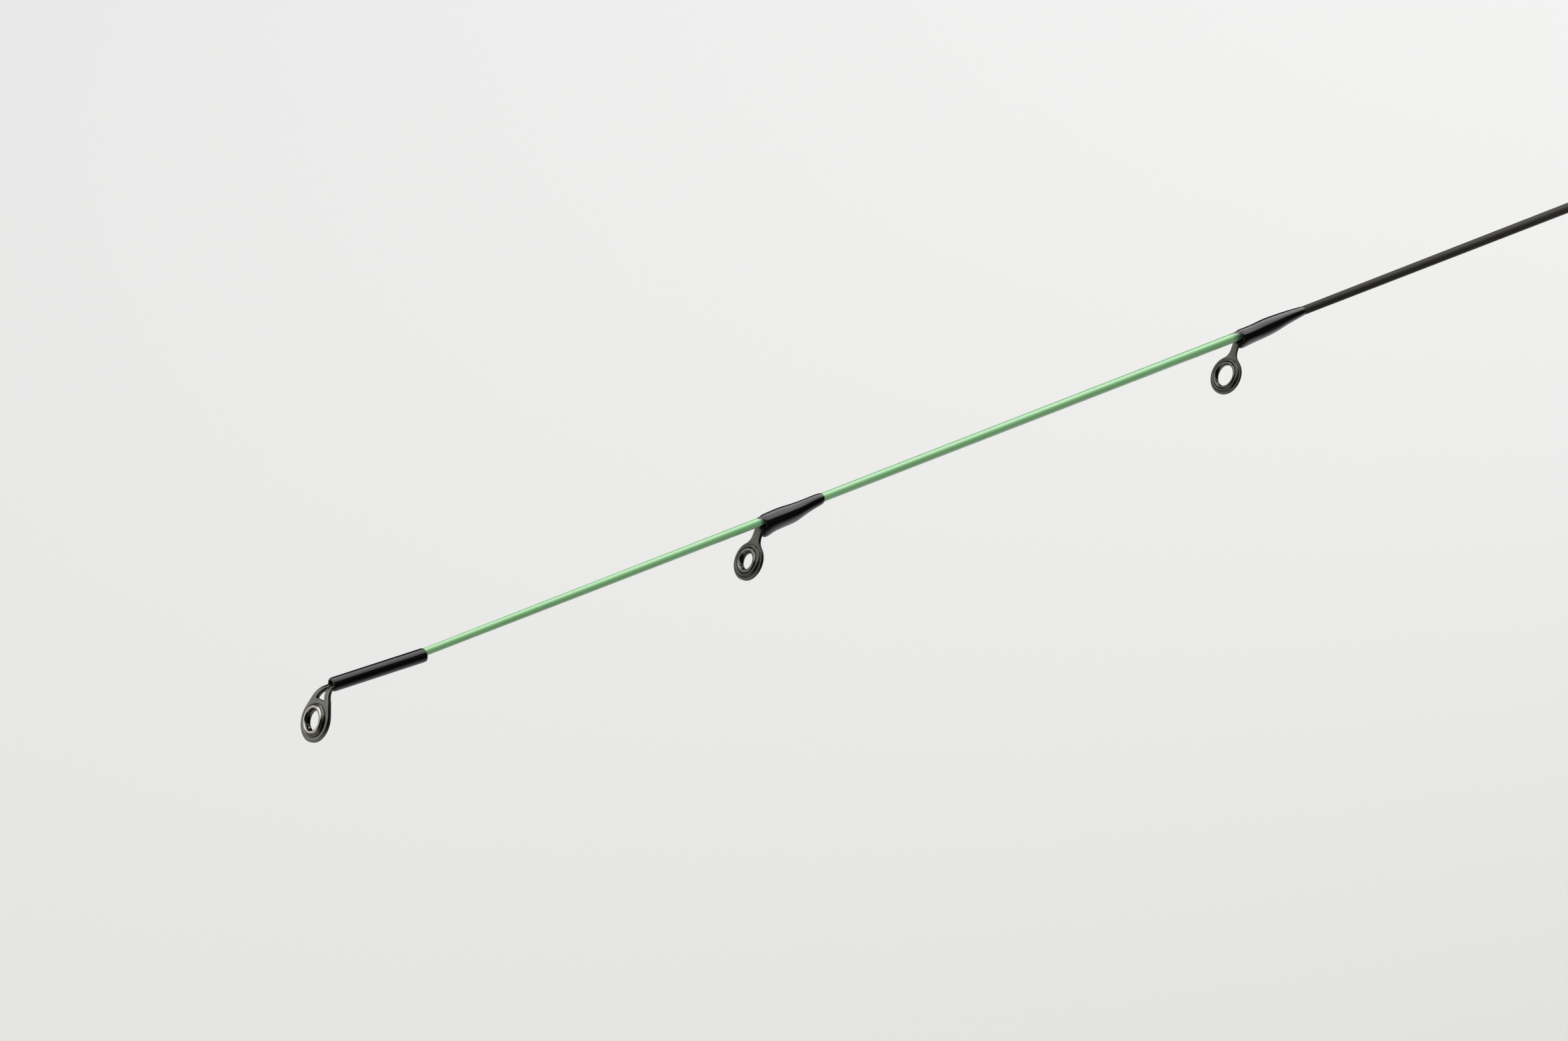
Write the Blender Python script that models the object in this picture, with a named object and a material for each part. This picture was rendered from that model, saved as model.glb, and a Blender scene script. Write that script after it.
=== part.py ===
"""Picker rod: two-section carbon rod with a push-in quiver tip, single-leg guides and a screw reel seat.

The rod lies along X with the flat end of the butt cap at the origin and the tip towards -X.
The guides hang towards -Z. Lengths are in metres.
"""

import math
from collections import namedtuple

import bmesh
import bpy
from mathutils import Matrix, Vector

MM = 0.001

# Lengths along the rod
ROD_LENGTH = 2440 * MM
QUIVER_REACH = 495 * MM
TIP_SECTION_REACH = 815 * MM
QUIVER_PLUG_LENGTH = 45 * MM
FERRULE_LENGTH = 60 * MM
FIRST_GUIDE_SPACING = 79.8 * MM
QUIVER_GUIDES = 4
TIP_SECTION_GUIDES = 4
QUIVER_GUIDE_MARGIN = 45 * MM
TIP_SECTION_GUIDE_MARGIN = 61.2 * MM
BUTT_GUIDE_SETBACK = 193 * MM

# Blank diameters and walls
QUIVER_TIP_DIAMETER = 1.14 * MM
QUIVER_FIRST_GUIDE_DIAMETER = 1.37 * MM
QUIVER_SECOND_GUIDE_DIAMETER = 1.56 * MM
QUIVER_BARE_DIAMETER = 1.42 * MM
QUIVER_SOCKET_DIAMETER = 2.5 * MM
QUIVER_PLUG_DIAMETER = 2.2 * MM
TIP_BLANK_TOP_DIAMETER = 3.8 * MM
TIP_BLANK_FERRULE_DIAMETER = 8.4 * MM
TIP_BLANK_NECK_DIAMETER = 7.0 * MM
TIP_BLANK_WALL = 0.7 * MM
FLARE_LENGTH = 34 * MM
SOCKET_WHIPPING_LENGTH = 24 * MM
FERRULE_WHIPPING_LENGTH = 29 * MM
SPIGOT_WHIPPING_LENGTH = 20 * MM
WHIPPING_SETBACK = 1 * MM
SPIGOT_DIAMETER = 6.6 * MM
BUTT_BLANK_DIAMETER = 11.0 * MM
BUTT_BLANK_WALL = 1.0 * MM

# Tip-top: a bent sheet with a pressed ring seat, on a tube
TIP_TOP_HEIGHT = 4.25 * MM
TIP_TOP_LEAN = math.radians(28.2)
TIP_TOP_PLATE_DIAMETER = 6.2 * MM
TIP_TOP_RING_DIAMETER = 4.3 * MM
TIP_TOP_HOLE_DIAMETER = 2.8 * MM
TIP_TOP_SHEET = 0.55 * MM
TIP_TOP_BEND = 1.8 * MM
TIP_TOP_WINDOW_FOOT = 3.05 * MM
TIP_TOP_WINDOW_WIDTH = 2.2 * MM
TIP_TOP_RAIL = 0.55 * MM
TIP_TOP_LEG_INSET = 1.4 * MM
TIP_TOP_LEG_DROP_SHARE = 0.3
TIP_TOP_RING_BACK = 0.7
TUBE_LENGTH = 17.4 * MM
TUBE_MOUTH = 1.05 * MM
TUBE_WALL = 0.08 * MM
TUBE_DROP = 0.19 * MM
TUBE_TILT = math.radians(2.2)
TUBE_ENGAGEMENT = 8.0 * MM
SLEEVE_WALL = 0.07 * MM
SLEEVE_SETBACK = 0.25 * MM

# Guides
RING_PROUD = 0.45 * MM
COLLAR_HEIGHT = 0.30 * MM
WRAP_BUILD = 0.30 * MM
WRAP_KEEL_FRONT = 1.00 * MM
WRAP_KEEL_MIDDLE = 0.60 * MM
WRAP_SHARES = (0.0, 0.25, 0.45, 0.62, 0.8, 0.93, 1.0)
WRAP_SWELL_SHARE = 0.55
WRAP_SWELL = 0.3
WRAP_REAR_BUILD = 0.85
WRAP_EDGE_BUILD = 0.3
FOOT_TIP_SHARE = 0.45
NECK_SHARE = 1.6
FILLET_SHARE = 0.62

# Handle, from the butt forward
BUTT_CAP_LENGTH = 28 * MM
BUTT_CAP_DIAMETER = 27 * MM
BUTT_CAP_FLOOR = 8 * MM
BUTT_CAP_ROUND = 3.5 * MM
BUTT_CAP_LIP = 1.2 * MM
PLUG_LENGTH = 14 * MM
PLUG_CHAMFER = 1 * MM
REAR_GRIP_LENGTH = 224 * MM
REAR_GRIP_DIAMETER = 24 * MM
REAR_GRIP_WAIST = 21 * MM
CHECK_LENGTH = 4 * MM
SEAT_DIAMETER = 19 * MM
SEAT_BORE = 14.4 * MM
SEAT_BED_DEPTH = 8.2 * MM
BUSH_LENGTH = 22 * MM
SEAT_FRONT_MARGIN = 5.4 * MM
GRIP_EDGE = 1 * MM
CHECK_BULGE = 0.8 * MM
FORE_GRIP_LENGTH = 78 * MM
FORE_GRIP_DIAMETER = 24 * MM
FORE_GRIP_NOSE = 15.5 * MM
CHECK_NOSE_DIAMETER = 12.6 * MM

# Reel seat fittings
HOOD_WALL = 1.3 * MM
HOOD_LENGTH = 21 * MM
POCKET_HEIGHT = 5.0 * MM
POCKET_NOSE = 6.5 * MM
POCKET_DEPTH = 15 * MM
FOOT_SPAN = 44 * MM
NUT_LENGTH = 12 * MM
NUT_DIAMETER = 24.5 * MM
NUT_RIB = 0.8 * MM
NUT_CHAMFER = 1.2 * MM
NUT_TRAVEL = 12 * MM
THREAD_PITCH = 3.0 * MM
THREAD_DEPTH = 0.7 * MM
THREAD_MARGIN = 1.5 * MM
BARREL_SHARES = (0.0, 0.30, 0.50, 0.80)
NUT_SHARES = (-0.17, 0.47, 0.60, 0.70)

# Folding hook keeper
KEEPER_SETBACK = 26 * MM
KEEPER_RING_RADIUS = 3.9 * MM
KEEPER_WIRE = 0.9 * MM
KEEPER_LUG_THICKNESS = 0.8 * MM
KEEPER_LUG_DROP = 2.6 * MM
KEEPER_EYE_DIAMETER = 1.5 * MM
KEEPER_FOOT_LENGTH = 16 * MM
KEEPER_FOOT_WIDTH = 2.4 * MM
KEEPER_FOOT_THICKNESS = 0.5 * MM
KEEPER_WRAP_SHARE = 1.6

# Clearances
FINE_GAP = 0.03 * MM
GLUE_GAP = 0.08 * MM
FACE_GAP = 0.30 * MM
RUNNING_GAP = 0.20 * MM
THREAD_GAP = 0.22 * MM

# Facets round a section
FINE_SIDES = 20
PLAIN_SIDES = 14
HANDLE_SIDES = 24
CORNER_ROOM = math.radians(3)

# Single-leg guides from the tip to the butt, in millimetres and degrees
Guide = namedtuple("Guide", "plate ring hole height lean sheet foot wrap sides")
GUIDES = (
    Guide(6.2, 4.1, 2.5, 6.44, 32.2, 0.40, 6.4, 11.8, FINE_SIDES),
    Guide(6.3, 4.6, 3.6, 6.90, 31.2, 0.40, 8.2, 16.0, FINE_SIDES),
    Guide(6.8, 5.1, 4.0, 7.50, 30.0, 0.42, 8.6, 16.5, PLAIN_SIDES),
    Guide(7.5, 5.7, 4.6, 8.20, 30.0, 0.45, 9.0, 17.0, PLAIN_SIDES),
    Guide(8.6, 6.7, 5.5, 9.80, 30.0, 0.50, 9.6, 18.0, PLAIN_SIDES),
    Guide(10.0, 7.9, 6.6, 11.8, 30.0, 0.55, 11.0, 20.0, PLAIN_SIDES),
    Guide(12.0, 9.7, 8.2, 14.4, 30.0, 0.60, 13.0, 22.0, PLAIN_SIDES),
    Guide(14.5, 12.0, 10.2, 17.6, 30.0, 0.70, 15.0, 25.0, PLAIN_SIDES),
    Guide(19.0, 16.2, 14.2, 23.4, 30.0, 0.85, 18.0, 29.0, FINE_SIDES),
)

# Stations on the X axis
TIP_X = -ROD_LENGTH
SOCKET_X = TIP_X + QUIVER_REACH
JOINT_X = SOCKET_X + TIP_SECTION_REACH
CAP_FRONT_X = -BUTT_CAP_LENGTH
REAR_GRIP_FRONT_X = CAP_FRONT_X - FACE_GAP - REAR_GRIP_LENGTH
SEAT_REAR_X = REAR_GRIP_FRONT_X - FACE_GAP - CHECK_LENGTH - FACE_GAP
FIXED_HOOD_REAR_X = SEAT_REAR_X - FACE_GAP
FIXED_HOOD_MOUTH_X = FIXED_HOOD_REAR_X - HOOD_LENGTH
SLIDING_HOOD_MOUTH_X = FIXED_HOOD_MOUTH_X - FOOT_SPAN
SLIDING_HOOD_FRONT_X = SLIDING_HOOD_MOUTH_X - HOOD_LENGTH
NUT_REAR_X = SLIDING_HOOD_FRONT_X - FACE_GAP
SEAT_FRONT_X = NUT_REAR_X - NUT_LENGTH - NUT_TRAVEL - SEAT_FRONT_MARGIN
THREAD_START_X = SEAT_FRONT_X + THREAD_MARGIN
THREAD_END_X = NUT_REAR_X + THREAD_MARGIN
FORE_GRIP_FRONT_X = SEAT_FRONT_X - FACE_GAP - FORE_GRIP_LENGTH
HANDLE_FRONT_X = FORE_GRIP_FRONT_X - FACE_GAP - CHECK_LENGTH
BLANK_REAR_X = -BUTT_CAP_FLOOR - FACE_GAP
SPIGOT_FRONT_X = JOINT_X - FERRULE_LENGTH
STEP_LENGTH = 0.02 * MM


def clear_scene():
    """Removes whatever the start-up scene holds."""
    for obj in list(bpy.data.objects):
        bpy.data.objects.remove(obj, do_unlink=True)


def make_material(name, colour, roughness, metallic=0.0):
    """A Principled material of one colour."""
    material = bpy.data.materials.new(name)
    material.use_nodes = True
    shader = material.node_tree.nodes["Principled BSDF"]
    shader.inputs["Base Color"].default_value = (*colour, 1.0)
    shader.inputs["Roughness"].default_value = roughness
    shader.inputs["Metallic"].default_value = metallic
    return material


def make_empty(name, x, z=0.0, parent=None):
    """An empty on a joint's axis, which carries the pieces of one moving body."""
    empty = bpy.data.objects.new(name, None)
    bpy.context.scene.collection.objects.link(empty)
    empty["x"] = x
    empty["z"] = z
    if parent:
        empty.parent = parent
        empty.location = (x - parent["x"], 0, z - parent["z"])
    else:
        empty.location = (x, 0, z)
    return empty


def add_object(name, mesh, material, carrier, x, z=0.0, turn=0.0):
    """Links a mesh as one piece, at a station on its carrier and turned about Y."""
    obj = bpy.data.objects.new(name, mesh)
    bpy.context.scene.collection.objects.link(obj)
    mesh.materials.append(material)
    obj.parent = carrier
    obj.location = (x - carrier["x"], 0, z - carrier["z"])
    obj.rotation_euler = (0, turn, 0)
    mesh.shade_smooth()
    mesh.set_sharp_from_angle(angle=math.radians(35))
    return obj


def mesh_from(name, bm):
    """Closes a bmesh into a mesh with its faces pointing out."""
    bmesh.ops.recalc_face_normals(bm, faces=bm.faces)
    mesh = bpy.data.meshes.new(name)
    bm.to_mesh(mesh)
    bm.free()
    return mesh


def cutter_from(name, mesh, x=0.0, z=0.0):
    """A hidden object that a Boolean takes as its second shape."""
    cutter = bpy.data.objects.new(name, mesh)
    bpy.context.scene.collection.objects.link(cutter)
    cutter.location = (x, 0, z)
    cutter.hide_render = True
    cutter.display_type = "WIRE"
    return cutter


def join_or_cut(obj, other, operation):
    """Joins a hidden shape to a piece, or cuts it out."""
    other.parent = obj
    modifier = obj.modifiers.new(operation.lower(), "BOOLEAN")
    modifier.operation = operation
    modifier.object = other
    modifier.solver = "EXACT"


def angles(sides, corner=None):
    """Equal angles round a section, the first straight down, and the pair at a corner as well."""
    found = [2 * math.pi * i / sides for i in range(sides)]
    if corner:
        spare = (corner, 2 * math.pi - corner)
        found = [a for a in found if min(abs(a - spare[0]), abs(a - spare[1])) > CORNER_ROOM or a == 0]
        found = sorted(found + list(spare))
    return found


def round_hole(radius, gap, sides):
    """Corner radius of a many-sided hole whose flats clear a round piece by the gap."""
    return (radius + gap) / math.cos(math.pi / sides)


def section(x, reach, turns):
    """Points round the X axis at a reach that is a number or a function of the angle from straight down.

    turns is a count of equal sides or a list of angles.
    """
    points = []
    for angle in angles(turns) if isinstance(turns, int) else turns:
        radius = reach(angle) if callable(reach) else reach
        points.append(Vector((x, radius * math.sin(angle), -radius * math.cos(angle))))
    return points


def skin(loops, hollow):
    """A bmesh through loops of equal count, joined end to end if hollow and capped if not."""
    bm = bmesh.new()
    rows = [[bm.verts.new(point) for point in loop] for loop in loops]
    pairs = list(zip(rows, rows[1:]))
    if hollow:
        pairs.append((rows[-1], rows[0]))
    for first, second in pairs:
        bridge(bm, first, second)
    if not hollow:
        bm.faces.new(rows[0])
        bm.faces.new(rows[-1])
    return bm


def bridge(bm, first, second):
    """Quads between two closed rows of vertices."""
    count = len(first)
    for i in range(count):
        j = (i + 1) % count
        bm.faces.new((first[i], first[j], second[j], second[i]))


def turned(name, profile, sides, hollow=False):
    """A mesh turned about X from (x, radius) points: a wall's closed outline if hollow, else end to end."""
    return mesh_from(name, skin([section(x, radius, sides) for x, radius in profile], hollow))


def lobed_reach(radius, half_width, depth):
    """Reach of a round section with a flat-bottomed box straight down from it."""

    def reach(angle):
        side = abs(math.sin(angle))
        down = math.cos(angle)
        if down <= 0:
            return radius
        box = depth / down if side * depth <= half_width * down else half_width / side
        return max(radius, box)

    return reach


def drop_reach(radius, depth, nose):
    """Reach of a round section drawn down to a depth, with a nose of smaller radius at the bottom."""
    drop = depth - nose
    if drop <= radius - nose:
        return lambda angle: radius
    tangent = math.acos((radius - nose) / drop)
    nose_edge = math.atan2(nose * math.sin(tangent), drop + nose * math.cos(tangent))

    def reach(angle):
        off = abs((angle + math.pi) % (2 * math.pi) - math.pi)
        if off >= tangent:
            return radius
        if off >= nose_edge:
            return radius / math.cos(tangent - off)
        across = drop * math.sin(off)
        return drop * math.cos(off) + math.sqrt(nose * nose - across * across)

    return reach


def bedded_reach(radius, bed):
    """Reach of a round section with a flat cut across its underside."""

    def reach(angle):
        down = math.cos(angle)
        return min(radius, bed / down) if down > 0 else radius

    return reach


def between(value, low, high, at_low, at_high):
    """A straight line from at_low to at_high, held level outside."""
    share = min(1.0, max(0.0, (value - low) / (high - low)))
    return at_low + share * (at_high - at_low)


def growth_steps(gaps):
    """How many steps of growth a run of gaps holds, when each gap is a step wider than the one before."""
    return gaps * (gaps - 1) / 2


QUIVER_GUIDE_RUN = QUIVER_REACH - QUIVER_GUIDE_MARGIN
GUIDE_GROWTH = (QUIVER_GUIDE_RUN - QUIVER_GUIDES * FIRST_GUIDE_SPACING) / growth_steps(QUIVER_GUIDES)


def guide_station(number):
    """X of a guide's root: along each of the two front sections the gaps grow by the same step."""
    if number > QUIVER_GUIDES + TIP_SECTION_GUIDES:
        return JOINT_X + BUTT_GUIDE_SETBACK
    if number <= QUIVER_GUIDES:
        return TIP_X + number * FIRST_GUIDE_SPACING + growth_steps(number) * GUIDE_GROWTH
    start = guide_station(QUIVER_GUIDES)
    run = JOINT_X - TIP_SECTION_GUIDE_MARGIN - start
    first_gap = (run - growth_steps(TIP_SECTION_GUIDES) * GUIDE_GROWTH) / TIP_SECTION_GUIDES
    gaps = number - QUIVER_GUIDES
    return start + gaps * first_gap + growth_steps(gaps) * GUIDE_GROWTH


FIRST_GUIDE_X = guide_station(1)
SECOND_GUIDE_X = guide_station(2)
LACQUER_END_X = SECOND_GUIDE_X + GUIDES[1].wrap * MM / 2
TUBE_MOUTH_X = TIP_X + TUBE_MOUTH
TUBE_REAR_X = TUBE_MOUTH_X + TUBE_LENGTH
QUIVER_FRONT_X = TUBE_REAR_X - TUBE_ENGAGEMENT


def quiver_radius(x):
    """Outside radius of the quiver tip, which is lacquered as far as the second guide."""
    if x <= FIRST_GUIDE_X:
        low, high = QUIVER_TIP_DIAMETER, QUIVER_FIRST_GUIDE_DIAMETER
        return between(x, QUIVER_FRONT_X, FIRST_GUIDE_X, low, high) / 2
    if x <= LACQUER_END_X:
        low, high = QUIVER_FIRST_GUIDE_DIAMETER, QUIVER_SECOND_GUIDE_DIAMETER
        return between(x, FIRST_GUIDE_X, SECOND_GUIDE_X, low, high) / 2
    return between(x, LACQUER_END_X, SOCKET_X, QUIVER_BARE_DIAMETER, QUIVER_SOCKET_DIAMETER) / 2


def tip_section_radius(x):
    """Outside radius of the tip section, which flares over the ferrule."""
    flare_x = JOINT_X - FERRULE_LENGTH - FLARE_LENGTH
    if x <= flare_x:
        return between(x, SOCKET_X, flare_x, TIP_BLANK_TOP_DIAMETER, TIP_BLANK_NECK_DIAMETER) / 2
    low, high = TIP_BLANK_NECK_DIAMETER, TIP_BLANK_FERRULE_DIAMETER
    return between(x, flare_x, flare_x + FLARE_LENGTH, low, high) / 2


def butt_blank_radius(x):
    """Outside radius of the butt section."""
    return between(x, JOINT_X, HANDLE_FRONT_X, SPIGOT_DIAMETER, BUTT_BLANK_DIAMETER) / 2


def blank_radius(x):
    """Outside radius of whichever blank shows at a station."""
    if x < SOCKET_X:
        return quiver_radius(x)
    if x < JOINT_X:
        return tip_section_radius(x)
    return butt_blank_radius(x)


def bend_path(height, lean, level, bend):
    """The side view of a bent leg, as a function of the distance from the ring's centre.

    The leg rises from the ring to the level, leaning back, and turns to run along the rod.
    It returns the point (x, z) from the leg's root on the axis of the rod.
    """
    corner_distance = height - level / math.cos(lean)
    corner = Vector((-level * math.tan(lean), -level))
    turn = math.pi / 2 - lean
    tangent = bend * math.tan(turn / 2)
    rise = Vector((math.sin(lean), math.cos(lean)))
    start = corner - rise * tangent
    centre = start + Vector((rise.y, -rise.x)) * bend
    arc = bend * turn
    straight = corner_distance - tangent

    def point(distance):
        if distance <= straight:
            return start + rise * (distance - straight)
        if distance <= straight + arc:
            angle = (distance - straight) / bend
            spoke = start - centre
            cos_a, sin_a = math.cos(angle), math.sin(angle)
            return centre + Vector((spoke.x * cos_a + spoke.y * sin_a, spoke.y * cos_a - spoke.x * sin_a))
        return Vector((corner.x + tangent + distance - straight - arc, -level))

    return point, straight, straight + arc


def plate_rim(shoulder, sides):
    """Angles round a plate from the shoulder on one side, under the ring, to the other."""
    return [shoulder + (2 * math.pi - 2 * shoulder) * i / sides for i in range(sides + 1)]


def neck_fillet(radius, half_neck, fillet):
    """Distance to the centre of the hollow curve beside a neck, and the shoulder angle where it starts."""
    reach = radius + fillet
    across = half_neck + fillet
    along = math.sqrt(reach * reach - across * across)
    return along, math.atan2(across, along)


def leg_sheet(point, radius, hole, rows, shoulder, sides, collar, window=None):
    """The mid-surface of a bent guide leg: a plate with a pressed ring seat, and a strip above it.

    rows holds (distance, half width) up the strip, from just above the plate.
    window holds the half widths of a gap in the strip, one for each row, where there is one.
    """
    bm = bmesh.new()

    def vertex(distance, across):
        x, z = point(distance)
        return bm.verts.new((x, across, z))

    rim_angles = plate_rim(shoulder, sides)
    crown = max(3, round(sides * shoulder / math.pi))
    crown_angles = [shoulder * (1 - 2 * i / crown) for i in range(1, crown)]
    rim = [vertex(radius * math.cos(a), radius * math.sin(a)) for a in rim_angles]
    seat = [vertex(hole * math.cos(a), hole * math.sin(a)) for a in rim_angles]
    arch = [vertex(hole * math.cos(a), hole * math.sin(a)) for a in crown_angles]
    for i in range(sides):
        bm.faces.new((rim[i], rim[i + 1], seat[i + 1], seat[i]))
    rise = (point(radius) - point(0)).normalized()
    forward = Vector((-rise.y, 0, rise.x))
    bore = seat + arch[::-1]
    lip = [bm.verts.new(v.co + forward * collar) for v in bore]
    for i in range(len(bore)):
        j = (i + 1) % len(bore)
        bm.faces.new((bore[i], bore[j], lip[j], lip[i]))
    right, left = rim[0], rim[-1]
    crest = [seat[0]] + arch + [seat[-1]]
    first, half = rows[0]
    sill = half if window is None else window[0]
    bar = [vertex(first, sill * (1 - 2 * i / crown)) for i in range(crown + 1)]
    for i in range(crown):
        bm.faces.new((crest[i], crest[i + 1], bar[i + 1], bar[i]))
    if window is None:
        bm.faces.new((right, crest[0], bar[0]))
        bm.faces.new((crest[-1], left, bar[-1]))
        edge = bar
        for distance, half in rows[1:]:
            following = [vertex(distance, half), vertex(distance, -half)]
            bm.faces.new(edge + following[::-1])
            edge = following
        return bm
    next_right, next_left = vertex(first, half), vertex(first, -half)
    sill_right, sill_left = bar[0], bar[-1]
    bm.faces.new((right, crest[0], sill_right, next_right))
    bm.faces.new((crest[-1], left, next_left, sill_left))
    right, left, inner_right, inner_left = next_right, next_left, sill_right, sill_left
    for (distance, half), gap in zip(rows[1:], window[1:]):
        next_right, next_left = vertex(distance, half), vertex(distance, -half)
        gap_right, gap_left = vertex(distance, gap), vertex(distance, -gap)
        bm.faces.new((right, inner_right, gap_right, next_right))
        bm.faces.new((inner_left, left, next_left, gap_left))
        right, left, inner_right, inner_left = next_right, next_left, gap_right, gap_left
    return bm


def thicken(obj, thickness):
    """Gives a sheet its gauge, half to each side."""
    modifier = obj.modifiers.new("gauge", "SOLIDIFY")
    modifier.thickness = thickness
    modifier.offset = 0
    modifier.use_even_offset = True


def ring_profile(outer, hole, front, back):
    """Wall outline of a guide ring: a bore that is rounded into its lips, and a plain outside."""
    half = (back + front) / 2
    middle = (back - front) / 2
    lip = 0.35 * (outer - hole)
    profile = [(-front, outer - lip / 2), (-front + lip / 2, outer)]
    profile += [(back - lip / 2, outer), (back, outer - lip / 2)]
    for step in (1.0, 0.5, -0.5, -1.0):
        profile.append((middle + half * step, hole + lip * step * step))
    return profile


def add_guide(number, guide, carrier, materials):
    """One single-leg guide: its bent frame, its ring and the whipping that holds its foot down."""
    root_x = guide_station(number)
    sheet = guide.sheet * MM
    plate = guide.plate * MM / 2
    ring = guide.ring * MM / 2
    seat = round_hole(ring, FINE_GAP, guide.sides) + sheet / 2
    lean = math.radians(guide.lean)
    foot_length = guide.foot * MM
    blank = max(blank_radius(root_x), blank_radius(root_x + foot_length))
    level = blank + FINE_GAP + sheet / 2
    point, straight, arc_end = bend_path(guide.height * MM, lean, level, 2 * sheet)
    neck = NECK_SHARE * sheet
    fillet = FILLET_SHARE * plate
    along, shoulder = neck_fillet(plate, neck, fillet)
    shoulder_distance = plate * math.cos(shoulder)
    rows = []
    for share in (0.25, 0.5, 0.75, 1.0):
        distance = shoulder_distance + (along - shoulder_distance) * share
        drop = math.sqrt(max(0.0, fillet * fillet - (along - distance) ** 2))
        rows.append((distance, neck + fillet - drop))
    for share in (0.0, 0.33, 0.67, 1.0):
        distance = straight + (arc_end - straight) * share
        if distance > along + FINE_GAP:
            rows.append((distance, neck))
    foot_end = arc_end + foot_length - point(arc_end).x
    rows.append((foot_end - 2 * neck, neck))
    rows.append((foot_end, neck * FOOT_TIP_SHARE))
    bm = leg_sheet(point, plate, seat, rows, shoulder, guide.sides, COLLAR_HEIGHT + sheet / 2)
    name = f"guide_{number}"
    frame = add_object(name + "_frame", mesh_from(name + "_frame", bm), materials["frame"], carrier, root_x)
    thicken(frame, sheet)
    centre = point(0)
    profile = ring_profile(ring, guide.hole * MM / 2, RING_PROUD + sheet / 2, 0.9 * sheet)
    mesh = turned(name + "_ring", profile, guide.sides, hollow=True)
    add_object(name + "_ring", mesh, materials["ring"], carrier, root_x + centre.x, centre.y, lean)
    half_foot = neck + GLUE_GAP
    depth = level + sheet / 2 + GLUE_GAP
    foot_room = foot_length + GLUE_GAP
    mesh = wrap_mesh(name + "_wrap", root_x, foot_room, guide.wrap * MM, half_foot, depth, guide.sides)
    add_object(name + "_wrap", mesh, materials["wrap"], carrier, root_x)


def wrap_mesh(name, root_x, foot, length, half_foot, depth, sides):
    """A lacquered whipping over a foot: full over the foot, round past its end and thin at the rear."""
    turns = angles(sides, math.atan2(half_foot, depth))
    front = round_hole(max(blank_radius(root_x), blank_radius(root_x + foot)), FINE_GAP, sides)
    rear = round_hole(blank_radius(root_x + length), FINE_GAP, sides)
    loops = []
    for share in WRAP_SHARES:
        x = FINE_GAP + length * share
        build = WRAP_BUILD * WRAP_REAR_BUILD
        if share < WRAP_SWELL_SHARE:
            build = WRAP_BUILD * (1.0 + WRAP_SWELL * math.sin(math.pi * share / WRAP_SWELL_SHARE))
        if share == WRAP_SHARES[-1]:
            build = WRAP_BUILD * WRAP_EDGE_BUILD
        radius = between(x, foot, length, front, rear) + build
        keel = between(share, 0, WRAP_SWELL_SHARE, WRAP_KEEL_FRONT, WRAP_KEEL_MIDDLE)
        past_foot = between(x, 0.95 * foot, 1.5 * foot, 0.0, 1.0)
        bottom = depth + keel + (radius - depth - keel) * past_foot
        nose = min(half_foot + WRAP_BUILD * 0.5, 0.98 * radius)
        loops.append(section(x, drop_reach(radius, max(bottom, radius), nose), turns))
    loops.append(section(FINE_GAP + length, rear, turns))
    loops.append(section(foot + STEP_LENGTH, front, turns))
    loops.append(section(foot, lobed_reach(front, half_foot, depth), turns))
    loops.append(section(FINE_GAP, lobed_reach(front, half_foot, depth), turns))
    return mesh_from(name, skin(loops, hollow=True))


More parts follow.
